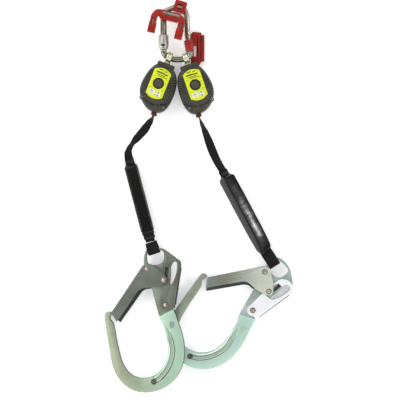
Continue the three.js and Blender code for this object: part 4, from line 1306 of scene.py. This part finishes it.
def hook_forging():
    limb = prism(limb_outline(), -LIMB_HALF, LIMB_HALF)
    rim, holes = neck_outline()
    neck = prism(rim, -NECK_HALF, NECK_HALF, holes)
    body = soften(join(limb, neck), 1.3, 3)
    scoops = []
    for sign in (1, -1):
        for offset, r, heights in (EDGE_SCOOP, GROOVE_SCOOP):
            line = [Vector((p.x, p.y, sign * (LIMB_HALF + p.z))) for p in beside_edge(offset, heights)]
            scoops.append(sweep(line, circle(0, 0, r, 40)))
    turns = [math.pi * k / 16 for k in range(17)]
    ball = lathe([(POCKET_R * math.sin(t), -POCKET_R * math.cos(t)) for t in turns], 32)
    scoops.append(place(ball, shifted(*POCKET, LIMB_HALF + POCKET_LIFT)))
    stamp = (LIMB_HALF - STAMP_DEPTH, LIMB_HALF + 2)
    for k in range(3):
        scoops.append(block(STAMP_X[0] + 3.6 * k, STAMP_X[0] + 1.5 + 3.6 * k, *STAMP_Y, *stamp))
    for v in (-116.5, -111.4, -106.3):
        scoops.append(block(*STAMP_X, v, v + 1.3, *stamp))
    return cut(body, *scoops)


def slot_cover():
    """Closes the latch rivet's slot from below; it turns with the gate."""
    reach = math.hypot(*LATCH_AT)
    start = math.atan2(LATCH_AT[1], LATCH_AT[0]) - 0.12
    pen = Pen((reach + 5) * math.cos(start), (reach + 5) * math.sin(start))
    pen.arc(0, 0, reach + 5, start, math.radians(10), 24)
    pen.arc(0, 0, reach - 6, math.radians(10), start, 24)
    return pen.done()


def gate_outline(reach=0.0):
    """The pressed gate's side plate; reach widens the arm on its inner side."""
    du, dv = 0.83 * reach, -0.557 * reach
    return Pen(-72.4, -88.4).path(
        (-10, 4.6), (-4, 12, 6, 8.4), (24, 2, 39, -15), (43.4, -21, 40.6, -26.6),
        (24 + du * 0.2, -37.6 + dv * 0.6, -4 + du * 0.4, -38 + dv),
        (-12 + du, -38.6 + dv, -18 + du, -45 + dv), (-61 + du, -106 + dv), (-68.6, -95.6),
    ).done()


def hook_gate(reach):
    holes = [circle(0, 0, RIVET_R + 0.35), circle(*LATCH_AT, RIVET_R + 0.35)]
    top = prism(gate_outline(), GATE_INNER, GATE_OUTER, holes)
    bottom = prism(gate_outline(reach), -GATE_OUTER, -GATE_INNER, holes)
    cover = prism(slot_cover(), -GATE_OUTER, -GATE_INNER - 0.2, [holes[1]])
    back = polygon((-72.4, -88.4), (-14.8, -2.6), (-13.1, -3.8), (-70.7, -89.6))
    gate = soften(join(top, bottom, cover, prism(back, -GATE_OUTER, GATE_OUTER)), 0.75, 3)
    beads = []
    for start, end in (((-67, -86), (-19, -16)), ((-61.5, -96), (-22, -38))):
        ends = [(*start, GATE_OUTER - 0.35), (*end, GATE_OUTER - 0.35)]
        beads.append(tube(ends, 1.4, 30, 14))
    return join(gate, *beads)


def lock_lever():
    px, py = LEVER_AT
    pen = Pen(px - 11, py)
    pen.arc(px, py, 11.5, math.pi, math.pi * 1.75, 20)
    pen.path(
        (54.6, -78), (67.4, 6), (68, 17, 59, 20.4), (44, 24, 37, 16), (32, 12, 31, 6), (29, -6), (26.6, -44)
    )
    window = Pen(36, 3.2).path(
        (46.8, 3.4), (45, 13, 57, 18, 60, 12), (62, -2, 56, -22, 49, -29.6), (42, -33, 30, -32, 29.6, -26),
        (29, -14, 30.6, -3, 36, 3.2),
    )
    rim, holes = pen.done(), [window.done(), circle(px, py, RIVET_R + 0.35)]
    top = prism(rim, LEVER_INNER, LEVER_OUTER, holes)
    bottom = prism(rim, -LEVER_OUTER, -LEVER_INNER, holes)
    back = polygon((55.6, -71.4), (67.1, 4), (65.3, 4.3), (53.8, -71.1))
    lever = soften(join(top, bottom, prism(back, -LEVER_OUTER, LEVER_OUTER)), 0.7, 3)
    # A strip just outside the back wall; the lever's shade tint below paints it dark to draw the far wall's
    # dark line: painted shade.
    spine = polygon((57.0, -71.0), (68.3, 2), (65.2, 2.6), (53.8, -71.0))
    return join(lever, prism(spine, -LEVER_OUTER + 0.6, LEVER_INNER - 0.5))


DOME_R = 3.4


def rivet(seat, spot):
    """A headed pin; each head is a low collar round a small dome."""
    base = seat + GAP * 0.4
    edge = min(base + 0.7, HEAD_TOP - 0.5)
    half = [(RIVET_R, base), (HEAD_R, base), (HEAD_R, edge - 0.2), (HEAD_R - 0.4, edge), (3.9, edge - 0.1),
            (3.6, edge - 0.3), (3.2, HEAD_TOP - 0.35), (2.2, HEAD_TOP - 0.1), (1.1, HEAD_TOP), (0, HEAD_TOP)]
    return place(lathe([(r, -z) for r, z in reversed(half)] + half, 40), shifted(*spot))


# Both hooks are one product: these paints are lit and shaded copies of one zinc plating, so what differs
# between the sides is painted light and shade.
HOOK_LOOKS = {
    "left": {
        "forging": ZINC_LEFT, "neck": ZINC_HALF_SHADE, "gate": ZINC_DARK_SHADED, "lever": ZINC_DARK_SHADED, "gate_reach": 5.2,
    },
    "right": {
        "forging": ZINC_RIGHT, "neck": ZINC_COOL_LIT, "gate": ZINC_WARM_LIT, "lever": ZINC_REFLECTION_WHITE, "gate_reach": 7.5,
    },
}


def build_hook(side, facts):
    where = hook_frame(facts)
    look = HOOK_LOOKS[side]
    forging = piece(
        f"{side}_forged_hook", hook_forging(), where, look["forging"], f"{side}_hook",
        [f"{side}_hook_body"], 30,
    )
    # The neck takes the side's neck paint: painted shade on the left, painted light on the right.
    tint(forging, where, look["neck"], lambda p: p.y > -94.5 + (p.x - 24.6) * 0.493)
    # The pocket at the groove's end is painted darker, half shade at its rim and darkest at its floor:
    # painted shade.
    pocket = Vector((*POCKET, LIMB_HALF))
    for paint, reach, depth in ((ZINC_HALF_SHADE, POCKET_RIM, 0.4), (POCKET_SHADE, POCKET_FLOOR, 1.5)):
        tint(forging, where, paint, lambda p: (p - pocket).length < reach and p.z < LIMB_HALF - depth)

    # The floors of the stamp's shallow cuts are painted darker on the left hook: painted shade.
    def stamp_shaded(p):
        return p.y < -104 and p.x > 45.5 and abs(p.z - LIMB_HALF + STAMP_DEPTH) < 0.05

    if side == "left":
        tint(forging, where, ZINC_HALF_SHADE, stamp_shaded)
    groove = [Vector((q.x, q.y)) for q in beside_edge(GROOVE_OFFSET, (0, 0), 40)]

    # The band along the groove is painted darker: painted shade.
    def groove_shaded(p):
        in_band = 0.2 < LIMB_HALF - p.z < 3 and near(p, groove, GROOVE_REACH)
        return in_band and (p - pocket).length > POCKET_RIM

    tint(forging, where, ZINC_GROOVE_SHADE, groove_shaded)
    # The rims of the forging, gate and lever are painted near black: painted shade.
    edge(forging)

    gate = piece(
        f"{side}_pressed_gate", hook_gate(look["gate_reach"]), where, look["gate"], f"{side}_hook_gate",
        [f"{side}_hook_gate"], 30,
    )
    edge(gate)
    # The gate's lower plate, which gate_reach widens past the top plate, is painted dark: painted shade in
    # the channel.
    tint(gate, where, ZINC_SHADE, lambda p: p.z < GATE_INNER - 0.5)
    # The slot cover's face is painted in half shade: painted shade.
    tint(gate, where, ZINC_HALF_SHADE, lambda p: abs(p.z + GATE_INNER + 0.2) < 0.05)
    lever = piece(
        f"{side}_pressed_lever", lock_lever(), where, look["lever"], f"{side}_lever",
        [f"{side}_lock_lever"], 30,
    )
    edge(lever)
    tint(lever, where, ZINC_SHADE, lambda p: p.z < LEVER_INNER - 0.3)
    for name, seat, spot, body in (
        ("gate_rivet", GATE_OUTER, (0, 0), "hook"),
        ("latch_rivet", GATE_OUTER, LATCH_AT, "hook_gate"),
        ("lever_rivet", LEVER_OUTER, LEVER_AT, "hook"),
    ):
        head = piece(
            f"{side}_{name}_head", rivet(seat, spot), where, RIVET_RING, f"{side}_{body}",
            [f"{side}_{name}"],
        )
        middle = Vector((*spot, 0))
        tint(head, where, RIVET, lambda p: (p - middle).xy.length < DOME_R and p.z > seat + 0.5)


# ---- assembly

for name, facts in SIDES.items():
    build_strap(name, facts)
build_carabiner()
build_bridge()
build_keeper()
for name, facts in SIDES.items():
    build_unit(name, facts)
    build_pack(name, facts)
    build_loop(name, facts)
    build_hook(name, facts)

INSIDE = {
    "sleeve_spring": BARREL, "axle": BARREL, "main_spring": BARREL, "ratchet": BARREL, "pawl": BARREL,
    "drum": NYLON, "web_coil": WEBBING,
}
for name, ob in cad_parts.items():
    for key, paint in INSIDE.items():
        if name.endswith(key):
            ob.data.materials.clear()
            ob.data.materials.append(paint)

# ---- floor, light and sky

FLOOR_HALF = 4.0
FLOOR_DROP = 0.0002
floor_mesh = bpy.data.meshes.new("floor")
corners = [(-1, -1), (1, -1), (1, 1), (-1, 1)]
verts = [(FLOOR_HALF * x, FLOOR_HALF * y, -FLOOR_DROP) for x, y in corners]
floor_mesh.from_pydata(verts, [], [(0, 1, 2, 3)])
floor = bpy.data.objects.new("floor", floor_mesh)
scene.collection.objects.link(floor)
floor_mesh.materials.append(surface(
    "floor_paper", [(0.93, 0.93, 0.93), (0.95, 0.95, 0.95)], rough=(0.85, 0.95), mottle=3, grain=40, bump=0.0,
    Emission_Color=(1, 1, 1, 1), Emission_Strength=0.34, Specular_IOR_Level=0.1,
))


def lamp(name, place_at, target, size, power):
    """A rectangular soft light: size is its width and height in metres, power is in watts."""
    light = bpy.data.lights.new(name, "AREA")
    light.shape = "RECTANGLE"
    light.size, light.size_y = size
    light.energy = power
    ob = bpy.data.objects.new(name, light)
    ob.location = place_at
    ob.rotation_mode = "QUATERNION"
    ob.rotation_quaternion = (Vector(target) - Vector(place_at)).to_track_quat("-Z", "Y")
    scene.collection.objects.link(ob)


lamp("key", (-1.5, 1.7, 2.0), (0, 0, 0), (0.9, 0.9), 20)
lamp("fill", (1.7, -1.5, 1.9), (0, 0, 0), (1.0, 1.0), 8)
lamp("low_panel", (1.65, 0.65, 0.85), (0.13, -0.11, 0.0), (0.1, 0.1), 3.2)
lamp("side_panel", (-1.9, -0.45, 0.9), (-0.1, 0.0, 0.0), (0.7, 0.8), 9)

SKY_STRENGTH = 1.5
SKY_RAMP = [(0.0, 0.08), (0.34, 0.22), (0.52, 0.72), (0.70, 1.0), (0.86, 0.66), (0.955, 0.24), (1.0, 0.2)]
sky = bpy.data.worlds.new("sky")
scene.world = sky
sky.use_nodes = True
tree = sky.node_tree
background = tree.nodes["Background"]
coords = tree.nodes.new("ShaderNodeTexCoord")
split = tree.nodes.new("ShaderNodeSeparateXYZ")
ramp = tree.nodes.new("ShaderNodeValToRGB")
tree.links.new(coords.outputs["Generated"], split.inputs["Vector"])
tree.links.new(split.outputs["Z"], ramp.inputs["Fac"])
tree.links.new(ramp.outputs["Color"], background.inputs["Color"])
stops = ramp.color_ramp.elements
while len(stops) < len(SKY_RAMP):
    stops.new(0.5)
for stop, (height, value) in zip(stops, SKY_RAMP):
    stop.position = height
    stop.color = (value, value, value * 1.01, 1)
background.inputs["Strength"].default_value = SKY_STRENGTH
scene.view_settings.view_transform = "Standard"
